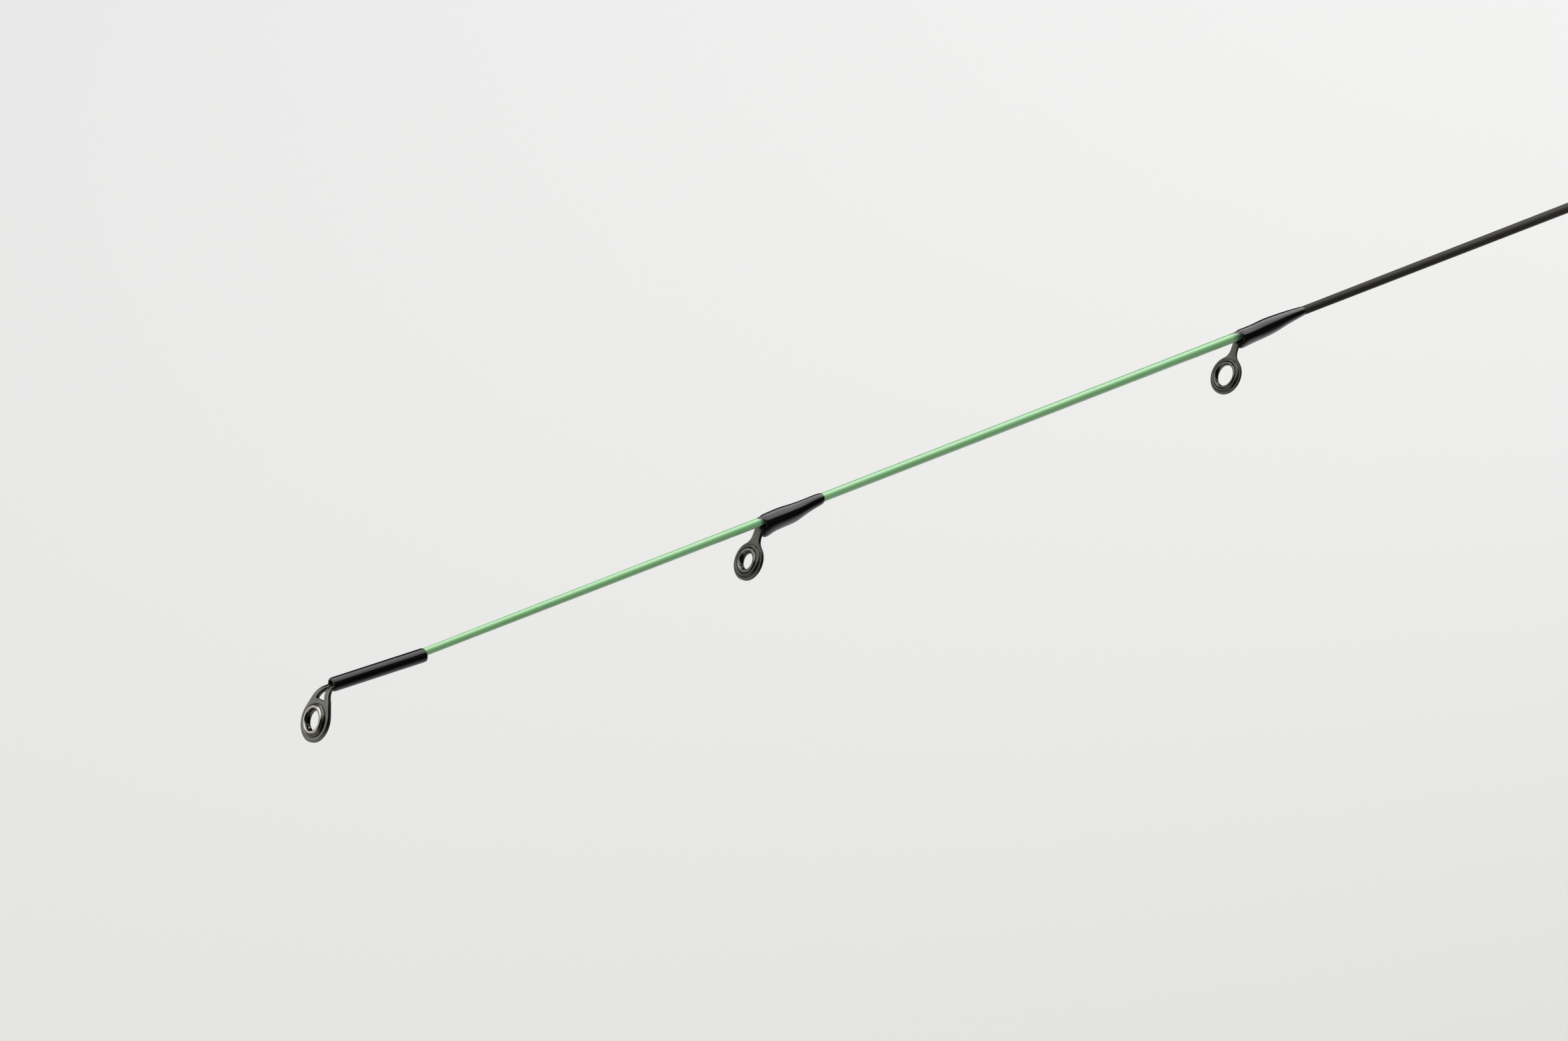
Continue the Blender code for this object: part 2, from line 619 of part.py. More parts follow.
def add_tip_top(carrier, materials):
    """The tip-top: a bent plate with two rails joined to a tube, its ring, and the sleeve over the tube."""
    plate = TIP_TOP_PLATE_DIAMETER / 2
    ring = TIP_TOP_RING_DIAMETER / 2
    seat = round_hole(ring, FINE_GAP, FINE_SIDES) + TIP_TOP_SHEET / 2
    bore = round_hole(quiver_radius(TUBE_REAR_X) + TUBE_DROP, FINE_GAP, FINE_SIDES)
    tube = bore + TUBE_WALL
    rear_drop = Vector((TUBE_REAR_X - TIP_X, -TUBE_DROP))
    along_tube = Vector((math.cos(TUBE_TILT), -math.sin(TUBE_TILT)))
    mouth = rear_drop - along_tube * TUBE_LENGTH
    leg_drop = TIP_TOP_LEG_DROP_SHARE * tube
    level = leg_drop - mouth.y
    point, straight, arc_end = bend_path(TIP_TOP_HEIGHT, TIP_TOP_LEAN, level, TIP_TOP_BEND)
    leg_half = math.sqrt(tube * tube - (leg_drop + TIP_TOP_SHEET / 2) ** 2) - TUBE_WALL / 4
    leg_end = arc_end + TIP_TOP_LEG_INSET
    shoulder = math.atan2(leg_half, arc_end) + math.acos(plate / math.hypot(leg_half, arc_end))
    count = 6
    rows = []
    window = []
    shoulder_x = plate * math.cos(shoulder)
    shoulder_half = plate * math.sin(shoulder)
    for i in range(count + 1):
        distance = between(i, 0, count, TIP_TOP_WINDOW_FOOT, arc_end)
        half = between(distance, shoulder_x, arc_end, shoulder_half, leg_half)
        rows.append((distance, half))
        window.append(min(TIP_TOP_WINDOW_WIDTH / 2, half - TIP_TOP_RAIL))
    rows.append((leg_end, leg_half))
    window.append(leg_half - TIP_TOP_RAIL)
    collar = COLLAR_HEIGHT + TIP_TOP_SHEET / 2
    bm = leg_sheet(point, plate, seat, rows, shoulder, FINE_SIDES, collar, window)
    frame = add_object("tip_top_frame", mesh_from("tip_top_frame", bm), materials["frame"], carrier, TIP_X)
    thicken(frame, TIP_TOP_SHEET)
    profile = [(0, bore), (0, tube), (TUBE_LENGTH, tube), (TUBE_LENGTH, bore)]
    tube_mesh = turned("tip_top_tube", profile, FINE_SIDES, hollow=True)
    tube_piece = cutter_from("tip_top_tube", tube_mesh, mouth.x, mouth.y)
    tube_piece.rotation_euler = (0, TUBE_TILT, 0)
    join_or_cut(frame, tube_piece, "UNION")
    centre = point(0)
    hole = TIP_TOP_HOLE_DIAMETER / 2
    profile = ring_profile(ring, hole, RING_PROUD + TIP_TOP_SHEET / 2, TIP_TOP_RING_BACK * TIP_TOP_SHEET)
    add_object(
        "tip_top_ring",
        turned("tip_top_ring", profile, FINE_SIDES, hollow=True),
        materials["tip_ring"],
        carrier,
        TIP_X + centre.x,
        centre.y,
        TIP_TOP_LEAN,
    )
    inner = tube + FINE_GAP
    outer = inner + SLEEVE_WALL
    edge = SLEEVE_WALL * 0.5
    rear = TUBE_LENGTH - SLEEVE_SETBACK
    profile = [(SLEEVE_SETBACK, inner), (SLEEVE_SETBACK, outer - edge), (SLEEVE_SETBACK + edge, outer)]
    profile += [(rear - edge, outer), (rear, outer - edge), (rear, inner)]
    add_object(
        "tip_top_sleeve",
        turned("tip_top_sleeve", profile, FINE_SIDES, hollow=True),
        materials["wrap"],
        carrier,
        TIP_X + mouth.x,
        mouth.y,
        TUBE_TILT,
    )


def add_quiver_blank(carrier, materials):
    """The solid quiver tip: lacquered end, bare taper and the parallel plug that pushes into the socket."""
    plug = QUIVER_PLUG_DIAMETER / 2
    profile = [(QUIVER_FRONT_X, quiver_radius(QUIVER_FRONT_X))]
    profile.append((FIRST_GUIDE_X, quiver_radius(FIRST_GUIDE_X)))
    profile.append((LACQUER_END_X - FINE_GAP, quiver_radius(LACQUER_END_X - FINE_GAP)))
    profile.append((LACQUER_END_X + FINE_GAP, quiver_radius(LACQUER_END_X + FINE_GAP)))
    profile.append((SOCKET_X - FACE_GAP, quiver_radius(SOCKET_X - FACE_GAP)))
    profile.append((SOCKET_X - FACE_GAP / 2, plug))
    profile.append((SOCKET_X + QUIVER_PLUG_LENGTH - plug, plug))
    profile.append((SOCKET_X + QUIVER_PLUG_LENGTH, plug * 0.7))
    local = [(x - SOCKET_X, radius) for x, radius in profile]
    mesh = turned("quiver_blank", local, FINE_SIDES)
    add_object("quiver_blank", mesh, materials["lacquer"], carrier, SOCKET_X)


def add_tip_section(carrier, materials):
    """The hollow tip section, with whippings over its socket and its ferrule."""
    socket = QUIVER_PLUG_DIAMETER / 2 + RUNNING_GAP / 2
    socket_end = SOCKET_X + QUIVER_PLUG_LENGTH + FACE_GAP
    ferrule = SPIGOT_DIAMETER / 2 + RUNNING_GAP / 2
    ferrule_end = JOINT_X - FERRULE_LENGTH - FACE_GAP
    flare_x = ferrule_end - FLARE_LENGTH
    outside = [SOCKET_X, flare_x, flare_x + FLARE_LENGTH, JOINT_X]
    profile = [(x, tip_section_radius(x)) for x in outside]
    profile += [(JOINT_X, ferrule), (ferrule_end, ferrule)]
    profile.append((flare_x, tip_section_radius(flare_x) - TIP_BLANK_WALL))
    profile += [(socket_end, socket), (SOCKET_X, socket)]
    local = [(x - JOINT_X, radius) for x, radius in profile]
    mesh = turned("tip_section_blank", local, FINE_SIDES, hollow=True)
    add_object("tip_section_blank", mesh, materials["blank"], carrier, JOINT_X)
    start, length = SOCKET_X + WHIPPING_SETBACK, SOCKET_WHIPPING_LENGTH
    band(carrier, "socket_whipping", start, length, tip_section_radius, materials["wrap"])
    start, length = JOINT_X - WHIPPING_SETBACK - FERRULE_WHIPPING_LENGTH, FERRULE_WHIPPING_LENGTH
    band(carrier, "ferrule_whipping", start, length, tip_section_radius, materials["wrap"])


def band(carrier, name, start, length, radius_at, material):
    """A round whipping on a bare stretch of blank."""
    end = start + length
    mid = (start + end) / 2
    build = WRAP_BUILD
    inner_start = radius_at(start) + GLUE_GAP
    inner_end = radius_at(end) + GLUE_GAP
    edge = build * WRAP_EDGE_BUILD
    slope = build * 2
    profile = [(0, inner_start), (0, inner_start + edge), (slope, inner_start + build)]
    profile.append((mid - start, (inner_start + inner_end) / 2 + build * 1.1))
    profile += [(length - slope, inner_end + build), (length, inner_end + edge), (length, inner_end)]
    add_object(name, turned(name, profile, FINE_SIDES, hollow=True), material, carrier, start)


def add_butt_blank(carrier, materials):
    """The hollow butt section, from the spigot to inside the butt cap, and the plug in its end."""
    stations = [SPIGOT_FRONT_X + FACE_GAP, JOINT_X, HANDLE_FRONT_X, BLANK_REAR_X]
    spigot_nose = SPIGOT_DIAMETER / 2 - RUNNING_GAP / 2
    profile = [(stations[0], spigot_nose)]
    profile += [(x, butt_blank_radius(x)) for x in stations[1:]]
    bore = [(x, butt_blank_radius(x) - BUTT_BLANK_WALL) for x in reversed(stations[2:])]
    profile += bore + [(stations[0], spigot_nose - BUTT_BLANK_WALL)]
    mesh = turned("butt_blank", profile, HANDLE_SIDES, hollow=True)
    add_object("butt_blank", mesh, materials["blank"], carrier, 0)
    plug = BUTT_BLANK_DIAMETER / 2 - BUTT_BLANK_WALL - GLUE_GAP
    front = BLANK_REAR_X - PLUG_LENGTH
    profile = [(front, plug - PLUG_CHAMFER), (front + PLUG_CHAMFER, plug)]
    profile.append((BLANK_REAR_X, plug))
    mesh = turned("blank_end_plug", profile, HANDLE_SIDES)
    add_object("blank_end_plug", mesh, materials["rubber"], carrier, 0)
    start, length = JOINT_X + WHIPPING_SETBACK, SPIGOT_WHIPPING_LENGTH
    band(carrier, "spigot_whipping", start, length, butt_blank_radius, materials["wrap"])


def grip_bore():
    """Radius of the hole through every grip and bush on the parallel part of the blank."""
    return BUTT_BLANK_DIAMETER / 2 + GLUE_GAP


def add_butt_cap(carrier, materials):
    """The rubber cap, a cup with a flat end and a rounded edge."""
    radius = BUTT_CAP_DIAMETER / 2
    profile = []
    for i in range(4):
        angle = math.pi / 2 * i / 3
        x = -BUTT_CAP_ROUND * (1 - math.sin(angle))
        profile.append((x, radius - BUTT_CAP_ROUND * (1 - math.cos(angle))))
    profile.reverse()
    profile += [(-BUTT_CAP_LENGTH + BUTT_CAP_ROUND, radius), (-BUTT_CAP_LENGTH, radius - BUTT_CAP_LIP)]
    profile += [(-BUTT_CAP_LENGTH, grip_bore()), (-BUTT_CAP_FLOOR, grip_bore())]
    mesh = turned("butt_cap", profile, HANDLE_SIDES)
    add_object("butt_cap", mesh, materials["rubber"], carrier, 0)


def add_grip(carrier, name, front, rear, outline, material):
    """A cork grip bored for the blank; outline gives (share from the rear, diameter)."""
    length = rear - front
    profile = [(rear - length * share, diameter / 2) for share, diameter in outline]
    profile += [(front, grip_bore()), (rear, grip_bore())]
    add_object(name, turned(name, profile, HANDLE_SIDES, hollow=True), material, carrier, 0)


def add_grips(carrier, materials):
    """Rear and fore grips with the metal checks that finish them."""
    rear = [(0, REAR_GRIP_DIAMETER - GRIP_EDGE), (0.02, REAR_GRIP_DIAMETER), (0.3, REAR_GRIP_WAIST)]
    rear += [(0.7, REAR_GRIP_WAIST), (0.9, REAR_GRIP_DIAMETER), (1, REAR_GRIP_WAIST)]
    add_grip(carrier, "rear_grip", REAR_GRIP_FRONT_X, CAP_FRONT_X - FACE_GAP, rear, materials["cork"])
    fore = [(0, FORE_GRIP_DIAMETER - 2 * GRIP_EDGE), (0.06, FORE_GRIP_DIAMETER)]
    fore += [(0.4, FORE_GRIP_DIAMETER - GRIP_EDGE), (0.75, FORE_GRIP_NOSE + 3 * GRIP_EDGE)]
    fore.append((1, FORE_GRIP_NOSE))
    add_grip(carrier, "fore_grip", FORE_GRIP_FRONT_X, SEAT_FRONT_X - FACE_GAP, fore, materials["cork"])
    rear_check = [(0, REAR_GRIP_WAIST), (0.3, REAR_GRIP_WAIST + CHECK_BULGE), (0.8, REAR_GRIP_WAIST)]
    rear_check.append((1, SEAT_DIAMETER + CHECK_BULGE))
    front = REAR_GRIP_FRONT_X - FACE_GAP - CHECK_LENGTH
    add_grip(carrier, "rear_check", front, REAR_GRIP_FRONT_X - FACE_GAP, rear_check, materials["trim"])
    nose_check = [(0, FORE_GRIP_NOSE), (0.35, FORE_GRIP_NOSE), (1, CHECK_NOSE_DIAMETER)]
    rear = HANDLE_FRONT_X + CHECK_LENGTH
    add_grip(carrier, "fore_check", HANDLE_FRONT_X, rear, nose_check, materials["trim"])


def thread_patch(bm, start_row, end_row, anchor, shares, root, crest):
    """Winds a thread of four rows to a pitch between two plain rings of vertices.

    Each column of vertices is set along the rod by its share of a turn, so that the rows form a helix.
    The first and last turns run out at the root.
    """
    sides = len(start_row)
    first = math.floor((start_row[0].co.x - anchor) / THREAD_PITCH - shares[0]) + 1
    last = math.floor((end_row[0].co.x - anchor) / THREAD_PITCH - shares[-1])
    columns = []
    for side, angle in enumerate(angles(sides)):
        column = []
        for turn in range(first, last):
            run_out = turn in (first, last - 1)
            for share, height in zip(shares, (root, root, crest, crest)):
                x = anchor + (turn + share + side / sides) * THREAD_PITCH
                radius = root if run_out else height
                column.append(bm.verts.new((x, radius * math.sin(angle), -radius * math.cos(angle))))
        columns.append(column)
    step = len(shares)
    for side in range(sides):
        ahead = (side + 1) % sides
        left, right = columns[side], columns[ahead]
        shift = 0 if ahead else step
        for i in range(len(left) - 1 - shift):
            bm.faces.new((left[i], left[i + 1], right[i + 1 + shift], right[i + shift]))
        lead = [start_row[side], left[0]] + right[shift::-1] + [start_row[ahead]]
        tail = [end_row[side]] + left[: len(left) - shift - 2 : -1] + [right[-1], end_row[ahead]]
        bm.faces.new(lead)
        bm.faces.new(tail)


def threaded(name, loops, after, anchor, shares, root, crest):
    """A hollow piece through loops, with a thread wound between the loop numbered after and the next."""
    bm = bmesh.new()
    rows = [[bm.verts.new(point) for point in loop] for loop in loops]
    for number, (first, second) in enumerate(zip(rows, rows[1:] + rows[:1])):
        if number == after:
            thread_patch(bm, first, second, anchor, shares, root, crest)
        else:
            bridge(bm, first, second)
    return mesh_from(name, bm)


def add_seat_body(carrier, materials):
    """The tubular seat: a flat bed for a reel's foot, a thread at the front, and the bushes inside it."""
    outer = SEAT_DIAMETER / 2
    bore = SEAT_BORE / 2
    bed = bedded_reach(outer, SEAT_BED_DEPTH)
    bed_rear = FIXED_HOOD_MOUTH_X + POCKET_DEPTH - FACE_GAP
    bed_front = SLIDING_HOOD_MOUTH_X - POCKET_DEPTH
    stations = [
        (SEAT_FRONT_X, outer),
        (THREAD_START_X, outer),
        (THREAD_END_X, outer),
        (bed_front, outer),
        (bed_front + FACE_GAP, bed),
        (bed_rear, bed),
        (bed_rear + FACE_GAP, outer),
        (SEAT_REAR_X, outer),
        (SEAT_REAR_X, bore),
        (SEAT_FRONT_X, bore),
    ]
    loops = [section(x, reach, HANDLE_SIDES) for x, reach in stations]
    root = outer - THREAD_DEPTH
    mesh = threaded("reel_seat_body", loops, 1, SEAT_FRONT_X, BARREL_SHARES, root, outer)
    add_object("reel_seat_body", mesh, materials["seat"], carrier, 0)
    bush = bore - GLUE_GAP
    for name, front in (("rear_bush", SEAT_REAR_X - BUSH_LENGTH), ("fore_bush", SEAT_FRONT_X)):
        rear = front + BUSH_LENGTH
        profile = [(front, grip_bore()), (front, bush), (rear, bush), (rear, grip_bore())]
        add_object(name, turned(name, profile, HANDLE_SIDES, hollow=True), materials["bush"], carrier, 0)


def hood_mesh(name, gap, mouth, closed):
    """A hood round the seat with a pocket under it for the end of a reel's foot, open at the mouth."""
    towards = 1 if closed > mouth else -1
    inner = SEAT_DIAMETER / 2 + gap
    outer = inner + HOOD_WALL
    pocket = SEAT_BED_DEPTH + POCKET_HEIGHT
    floor = mouth + towards * POCKET_DEPTH
    bulge = drop_reach(outer, pocket + HOOD_WALL, POCKET_NOSE + HOOD_WALL)
    hollow = drop_reach(inner, pocket, POCKET_NOSE)
    stations = [
        (mouth, bulge),
        (floor, bulge),
        (closed, outer),
        (closed, inner),
        (floor + towards * HOOD_WALL, inner),
        (floor, hollow),
        (mouth, hollow),
    ]
    loops = [section(x, reach, HANDLE_SIDES) for x, reach in stations]
    return mesh_from(name, skin(loops, hollow=True))


def add_hoods(carrier, hood_carrier, materials):
    """The hood glued to the rear of the seat, and the one that slides to clamp the reel's foot."""
    fixed = hood_mesh("fixed_hood", GLUE_GAP, FIXED_HOOD_MOUTH_X, FIXED_HOOD_REAR_X)
    add_object("fixed_hood", fixed, materials["hood"], carrier, 0)
    reach = SLIDING_HOOD_FRONT_X - SLIDING_HOOD_MOUTH_X
    sliding = hood_mesh("sliding_hood", RUNNING_GAP, 0.0, reach)
    add_object("sliding_hood", sliding, materials["hood"], hood_carrier, SLIDING_HOOD_MOUTH_X)


def add_nut(carrier, materials):
    """The ribbed ring nut that drives the sliding hood, threaded to mesh with the seat."""
    barrel = SEAT_DIAMETER / 2
    bore = barrel + THREAD_GAP
    crest = barrel - THREAD_DEPTH + THREAD_GAP
    radius = NUT_DIAMETER / 2
    ribs = HANDLE_SIDES / 2

    def ribbed(angle):
        return radius - NUT_RIB / 2 * (1 - math.cos(ribs * angle))

    stations = [
        (-NUT_LENGTH, bore + THREAD_GAP),
        (-NUT_LENGTH + THREAD_GAP, bore),
        (-THREAD_GAP, bore),
        (0.0, bore + THREAD_GAP),
        (0.0, radius - NUT_RIB - NUT_CHAMFER),
        (-NUT_CHAMFER, ribbed),
        (-NUT_LENGTH + NUT_CHAMFER, ribbed),
        (-NUT_LENGTH, radius - NUT_RIB - NUT_CHAMFER),
    ]
    loops = [section(x, reach, HANDLE_SIDES) for x, reach in stations]
    anchor = SEAT_FRONT_X - NUT_REAR_X - THREAD_PITCH / 2
    mesh = threaded("lock_nut", loops, 1, anchor, NUT_SHARES, bore, crest)
    add_object("lock_nut", mesh, materials["hood"], carrier, NUT_REAR_X)


KEEPER_X = HANDLE_FRONT_X - KEEPER_SETBACK
KEEPER_EYE_Z = -(butt_blank_radius(KEEPER_X) + KEEPER_LUG_DROP)


def add_keeper(carrier, ring_carrier, materials):
    """The folding hook keeper: a foot with an eye, its whipping, and a wire ring through the eye."""
    blank = max(butt_blank_radius(KEEPER_X), butt_blank_radius(KEEPER_X + KEEPER_FOOT_LENGTH))
    foot_top = -(blank + GLUE_GAP)
    eye = KEEPER_EYE_DIAMETER / 2
    half_lug = KEEPER_EYE_DIAMETER
    lug_height = foot_top - KEEPER_FOOT_THICKNESS / 2 - KEEPER_EYE_Z
    outline = lobed_reach(half_lug, half_lug, lug_height)
    bm = bmesh.new()
    rim, hole = [], []
    for angle in angles(PLAIN_SIDES, math.atan2(half_lug, lug_height)):
        across, up = math.sin(angle), math.cos(angle)
        reach = outline(angle)
        rim.append(bm.verts.new((reach * across, 0, KEEPER_EYE_Z + reach * up)))
        hole.append(bm.verts.new((eye * across, 0, KEEPER_EYE_Z + eye * up)))
    bridge(bm, rim, hole)
    base = add_object("keeper_base", mesh_from("keeper_base", bm), materials["frame"], carrier, KEEPER_X)
    thicken(base, KEEPER_LUG_THICKNESS)
    bm = bmesh.new()
    bmesh.ops.create_cube(bm, size=1.0)
    bmesh.ops.scale(bm, vec=(KEEPER_FOOT_LENGTH, KEEPER_FOOT_WIDTH, KEEPER_FOOT_THICKNESS), verts=bm.verts)
    foot = cutter_from("keeper_foot", mesh_from("keeper_foot", bm))
    foot.location = (KEEPER_FOOT_LENGTH / 2 - half_lug, 0, foot_top - KEEPER_FOOT_THICKNESS / 2)
    join_or_cut(base, foot, "UNION")
    wrap_x = KEEPER_X + half_lug + FACE_GAP
    foot_left = KEEPER_FOOT_LENGTH - 2 * half_lug - FACE_GAP
    depth = -foot_top + KEEPER_FOOT_THICKNESS + GLUE_GAP
    half_foot = KEEPER_FOOT_WIDTH / 2 + GLUE_GAP
    length = foot_left * KEEPER_WRAP_SHARE
    mesh = wrap_mesh("keeper_wrap", wrap_x, foot_left + GLUE_GAP, length, half_foot, depth, FINE_SIDES)
    add_object("keeper_wrap", mesh, materials["wrap"], carrier, wrap_x)
    wire = KEEPER_WIRE / 2
    profile = []
    for angle in angles(8):
        profile.append((wire * math.cos(angle), KEEPER_RING_RADIUS + wire * math.sin(angle)))
    mesh = turned("keeper_ring", profile, FINE_SIDES, hollow=True)
    mesh.transform(Matrix.Translation((0, 0, -KEEPER_RING_RADIUS)))
    add_object("keeper_ring", mesh, materials["ring"], ring_carrier, KEEPER_X, KEEPER_EYE_Z)


def build():
    """Makes every piece of the rod on the carrier of its moving body."""
    clear_scene()
    materials = {
        "lacquer": make_material("green_lacquer", (0.23, 0.52, 0.23), 0.25),
        "blank": make_material("carbon_blank", (0.03, 0.027, 0.022), 0.35),
        "wrap": make_material("black_whipping", (0.012, 0.012, 0.012), 0.12),
        "frame": make_material("gunmetal_frame", (0.13, 0.13, 0.12), 0.35, 0.9),
        "ring": make_material("dark_ring", (0.10, 0.10, 0.095), 0.12, 0.8),
        "tip_ring": make_material("pale_ring", (0.55, 0.53, 0.46), 0.15, 0.3),
        "cork": make_material("cork", (0.50, 0.31, 0.16), 0.75),
        "rubber": make_material("black_rubber", (0.02, 0.02, 0.02), 0.7),
        "seat": make_material("seat_plastic", (0.02, 0.02, 0.022), 0.4),
        "hood": make_material("hood_steel", (0.20, 0.20, 0.19), 0.3, 1.0),
        "trim": make_material("trim_aluminium", (0.33, 0.33, 0.32), 0.3, 1.0),
        "bush": make_material("bush_plastic", (0.35, 0.33, 0.30), 0.6),
    }
    rod = make_empty("rod_frame", 0.0)
    tip_section = make_empty("tip_section_frame", JOINT_X, parent=rod)
    quiver = make_empty("quiver_frame", SOCKET_X, parent=tip_section)
    hood = make_empty("hood_frame", SLIDING_HOOD_MOUTH_X, parent=rod)
    nut = make_empty("nut_frame", NUT_REAR_X, parent=hood)
    keeper = make_empty("keeper_frame", KEEPER_X, KEEPER_EYE_Z, parent=rod)
    add_quiver_blank(quiver, materials)
    add_tip_top(quiver, materials)
    add_tip_section(tip_section, materials)
    add_butt_blank(rod, materials)
    for number, guide in enumerate(GUIDES, start=1):
        carrier = rod
        if number <= QUIVER_GUIDES:
            carrier = quiver
        elif number <= QUIVER_GUIDES + TIP_SECTION_GUIDES:
            carrier = tip_section
        add_guide(number, guide, carrier, materials)
    add_butt_cap(rod, materials)
    add_grips(rod, materials)
    add_seat_body(rod, materials)
    add_hoods(rod, hood, materials)
    add_nut(nut, materials)
    add_keeper(rod, keeper, materials)


build()
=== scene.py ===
# %% [markdown]
# # A picker rod, dressed for its portrait
# A picker is a light bottom-fishing rod in two carbon sections, with a thin lacquered quiver tip that
# pushes into the front one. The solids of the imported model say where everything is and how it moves.
# This lesson dresses them: it models each visible piece again with smooth surfaces, and mixes a finish
# for each material. The rod lies along X, the butt at the origin and the tip towards -X.

import math

import bmesh
import bpy
from mathutils import Matrix, Vector


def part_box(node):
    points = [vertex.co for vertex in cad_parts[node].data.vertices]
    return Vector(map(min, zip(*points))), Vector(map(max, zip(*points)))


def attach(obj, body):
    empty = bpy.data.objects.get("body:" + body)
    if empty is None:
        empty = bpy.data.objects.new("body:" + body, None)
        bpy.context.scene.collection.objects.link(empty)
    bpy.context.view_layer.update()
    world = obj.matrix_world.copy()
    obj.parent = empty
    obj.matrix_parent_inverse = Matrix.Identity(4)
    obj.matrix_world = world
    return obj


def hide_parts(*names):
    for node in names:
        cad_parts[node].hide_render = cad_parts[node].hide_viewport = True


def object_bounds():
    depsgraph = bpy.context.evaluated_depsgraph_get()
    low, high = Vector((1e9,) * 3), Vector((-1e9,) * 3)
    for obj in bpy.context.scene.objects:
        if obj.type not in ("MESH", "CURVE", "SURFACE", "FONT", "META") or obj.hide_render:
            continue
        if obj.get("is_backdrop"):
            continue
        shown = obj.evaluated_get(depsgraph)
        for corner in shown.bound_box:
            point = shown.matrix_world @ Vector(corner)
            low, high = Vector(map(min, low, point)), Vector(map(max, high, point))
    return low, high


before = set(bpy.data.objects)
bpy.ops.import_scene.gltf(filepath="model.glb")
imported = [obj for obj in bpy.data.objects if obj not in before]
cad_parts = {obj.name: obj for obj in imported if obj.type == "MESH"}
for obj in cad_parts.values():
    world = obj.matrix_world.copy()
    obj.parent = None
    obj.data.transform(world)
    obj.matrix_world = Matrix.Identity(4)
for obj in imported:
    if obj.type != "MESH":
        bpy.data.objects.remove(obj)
cad_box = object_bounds()
MM = 0.001
print("nodes:", len(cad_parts))

# %% [markdown]
# ## The camera
# The portrait looks along the tip end from beside it and a little above, so the rod rises to the right
# and its butt lies outside the picture. A camera could be aimed with a Track To constraint, but the
# picture is also tilted by six degrees. So the three directions of the camera are given outright.

# %% Aim the camera along the tip
CAMERA_PLACE = Vector((-2.72762, -0.48336, 0.22759))
CAMERA_RIGHT = Vector((0.765162, -0.635881, -0.100913))
CAMERA_UP = Vector((0.298375, 0.211329, 0.930759))
CAMERA_FORWARD = Vector((0.570526, 0.742291, -0.351432))

LENS, SENSOR_WIDTH = 99.07, 36.0
TIP_X = -2440.0 * MM

camera_data = bpy.data.cameras.new("portrait_camera")
camera_data.lens = LENS
camera_data.sensor_width = SENSOR_WIDTH
camera_data.clip_start = 10 * MM
camera = bpy.data.objects.new("portrait_camera", camera_data)
bpy.context.scene.collection.objects.link(camera)
turn = Matrix((CAMERA_RIGHT, CAMERA_UP, -CAMERA_FORWARD)).transposed().to_4x4()
camera.matrix_world = Matrix.Translation(CAMERA_PLACE) @ turn
bpy.context.scene.camera = camera
print("camera to the tip, mm:", round((CAMERA_PLACE - Vector((TIP_X, 0, 0))).length / MM))

# %% [markdown]
# ## Floor, sky and soft box
# A thin gloss-black tube shows its surroundings as bands: a pale one for the box overhead, a black one
# for the dark room behind the camera, and a grey one for the floor. A long box above the whole rod
# gives the first, in three strips that fade towards the camera. To gloss surfaces the sky is dark, but
# for one pale card that the flat plates face, and the floor is pale only below the rod. To the camera
# both are pale all over. The floor lies well below, so the rod's shadow on it is wide and faint.

# %% A helper that adds one node and joins its inputs
def add_node(tree, kind, inputs=None, **settings):
    """Adds a node; an input is given as a value or as the socket that feeds it."""
    made = tree.nodes.new(kind)
    for name, value in settings.items():
        setattr(made, name, value)
    for key, value in (inputs or {}).items():
        if isinstance(value, bpy.types.NodeSocket):
            tree.links.new(value, made.inputs[key])
        else:
            made.inputs[key].default_value = value
    return made


MIX_A, MIX_B, MIX_COLOUR = 6, 7, 2


def mixed(tree, share, first, second, **settings):
    """A colour between two others."""
    inputs = {0: share, MIX_A: first, MIX_B: second}
    return add_node(tree, "ShaderNodeMix", inputs, data_type="RGBA", **settings).outputs[MIX_COLOUR]


def calculated(tree, operation, *values):
    """The result of one step of arithmetic on one or two values."""
    return add_node(tree, "ShaderNodeMath", dict(enumerate(values)), operation=operation).outputs[0]


def spread(tree, value, low, high, to_low=0.0, to_high=1.0, ease="LINEAR"):
    """A value between low and high, carried over to another span and held level outside."""
    inputs = {"Value": value, "From Min": low, "From Max": high, "To Min": to_low, "To Max": to_high}
    return add_node(tree, "ShaderNodeMapRange", inputs, interpolation_type=ease).outputs[0]


def graded(tree, value, steps):
    """A grey that follows a value through (value, level) steps."""
    low, high = steps[0][0], steps[-1][0]
    ramp = add_node(tree, "ShaderNodeValToRGB", {"Fac": spread(tree, value, low, high)})
    ends = ramp.color_ramp.elements
    ends[0].color = (steps[0][1],) * 3 + (1.0,)
    ends[1].color = (steps[-1][1],) * 3 + (1.0,)
    for at, level in steps[1:-1]:
        ramp.color_ramp.elements.new((at - low) / (high - low)).color = (level, level, level, 1.0)
    return ramp.outputs[0]


# %% The floor
FLOOR_Z = -0.55
FLOOR_SIZE = 80.0
FLOOR_PAINT = (0.62, 0.62, 0.61, 1.0)
# the glow that evens out the box's light for the camera, by the place on the floor in metres
GLOW, GLOW_BY_X, GLOW_BY_Y, GLOW_BY_Y_SQUARED = 0.11, 0.073, 0.37, -0.067
GLOW_LEAST, GLOW_MOST, GLOW_FAR = 0.15, 0.60, 0.67
# the far floor starts on an oval round the rod: X is stretched before the distance is measured
ROD_MIDDLE_X, X_STRETCH = -1.2, 1.6
FAR_START, FAR_END = 3.0, 4.6
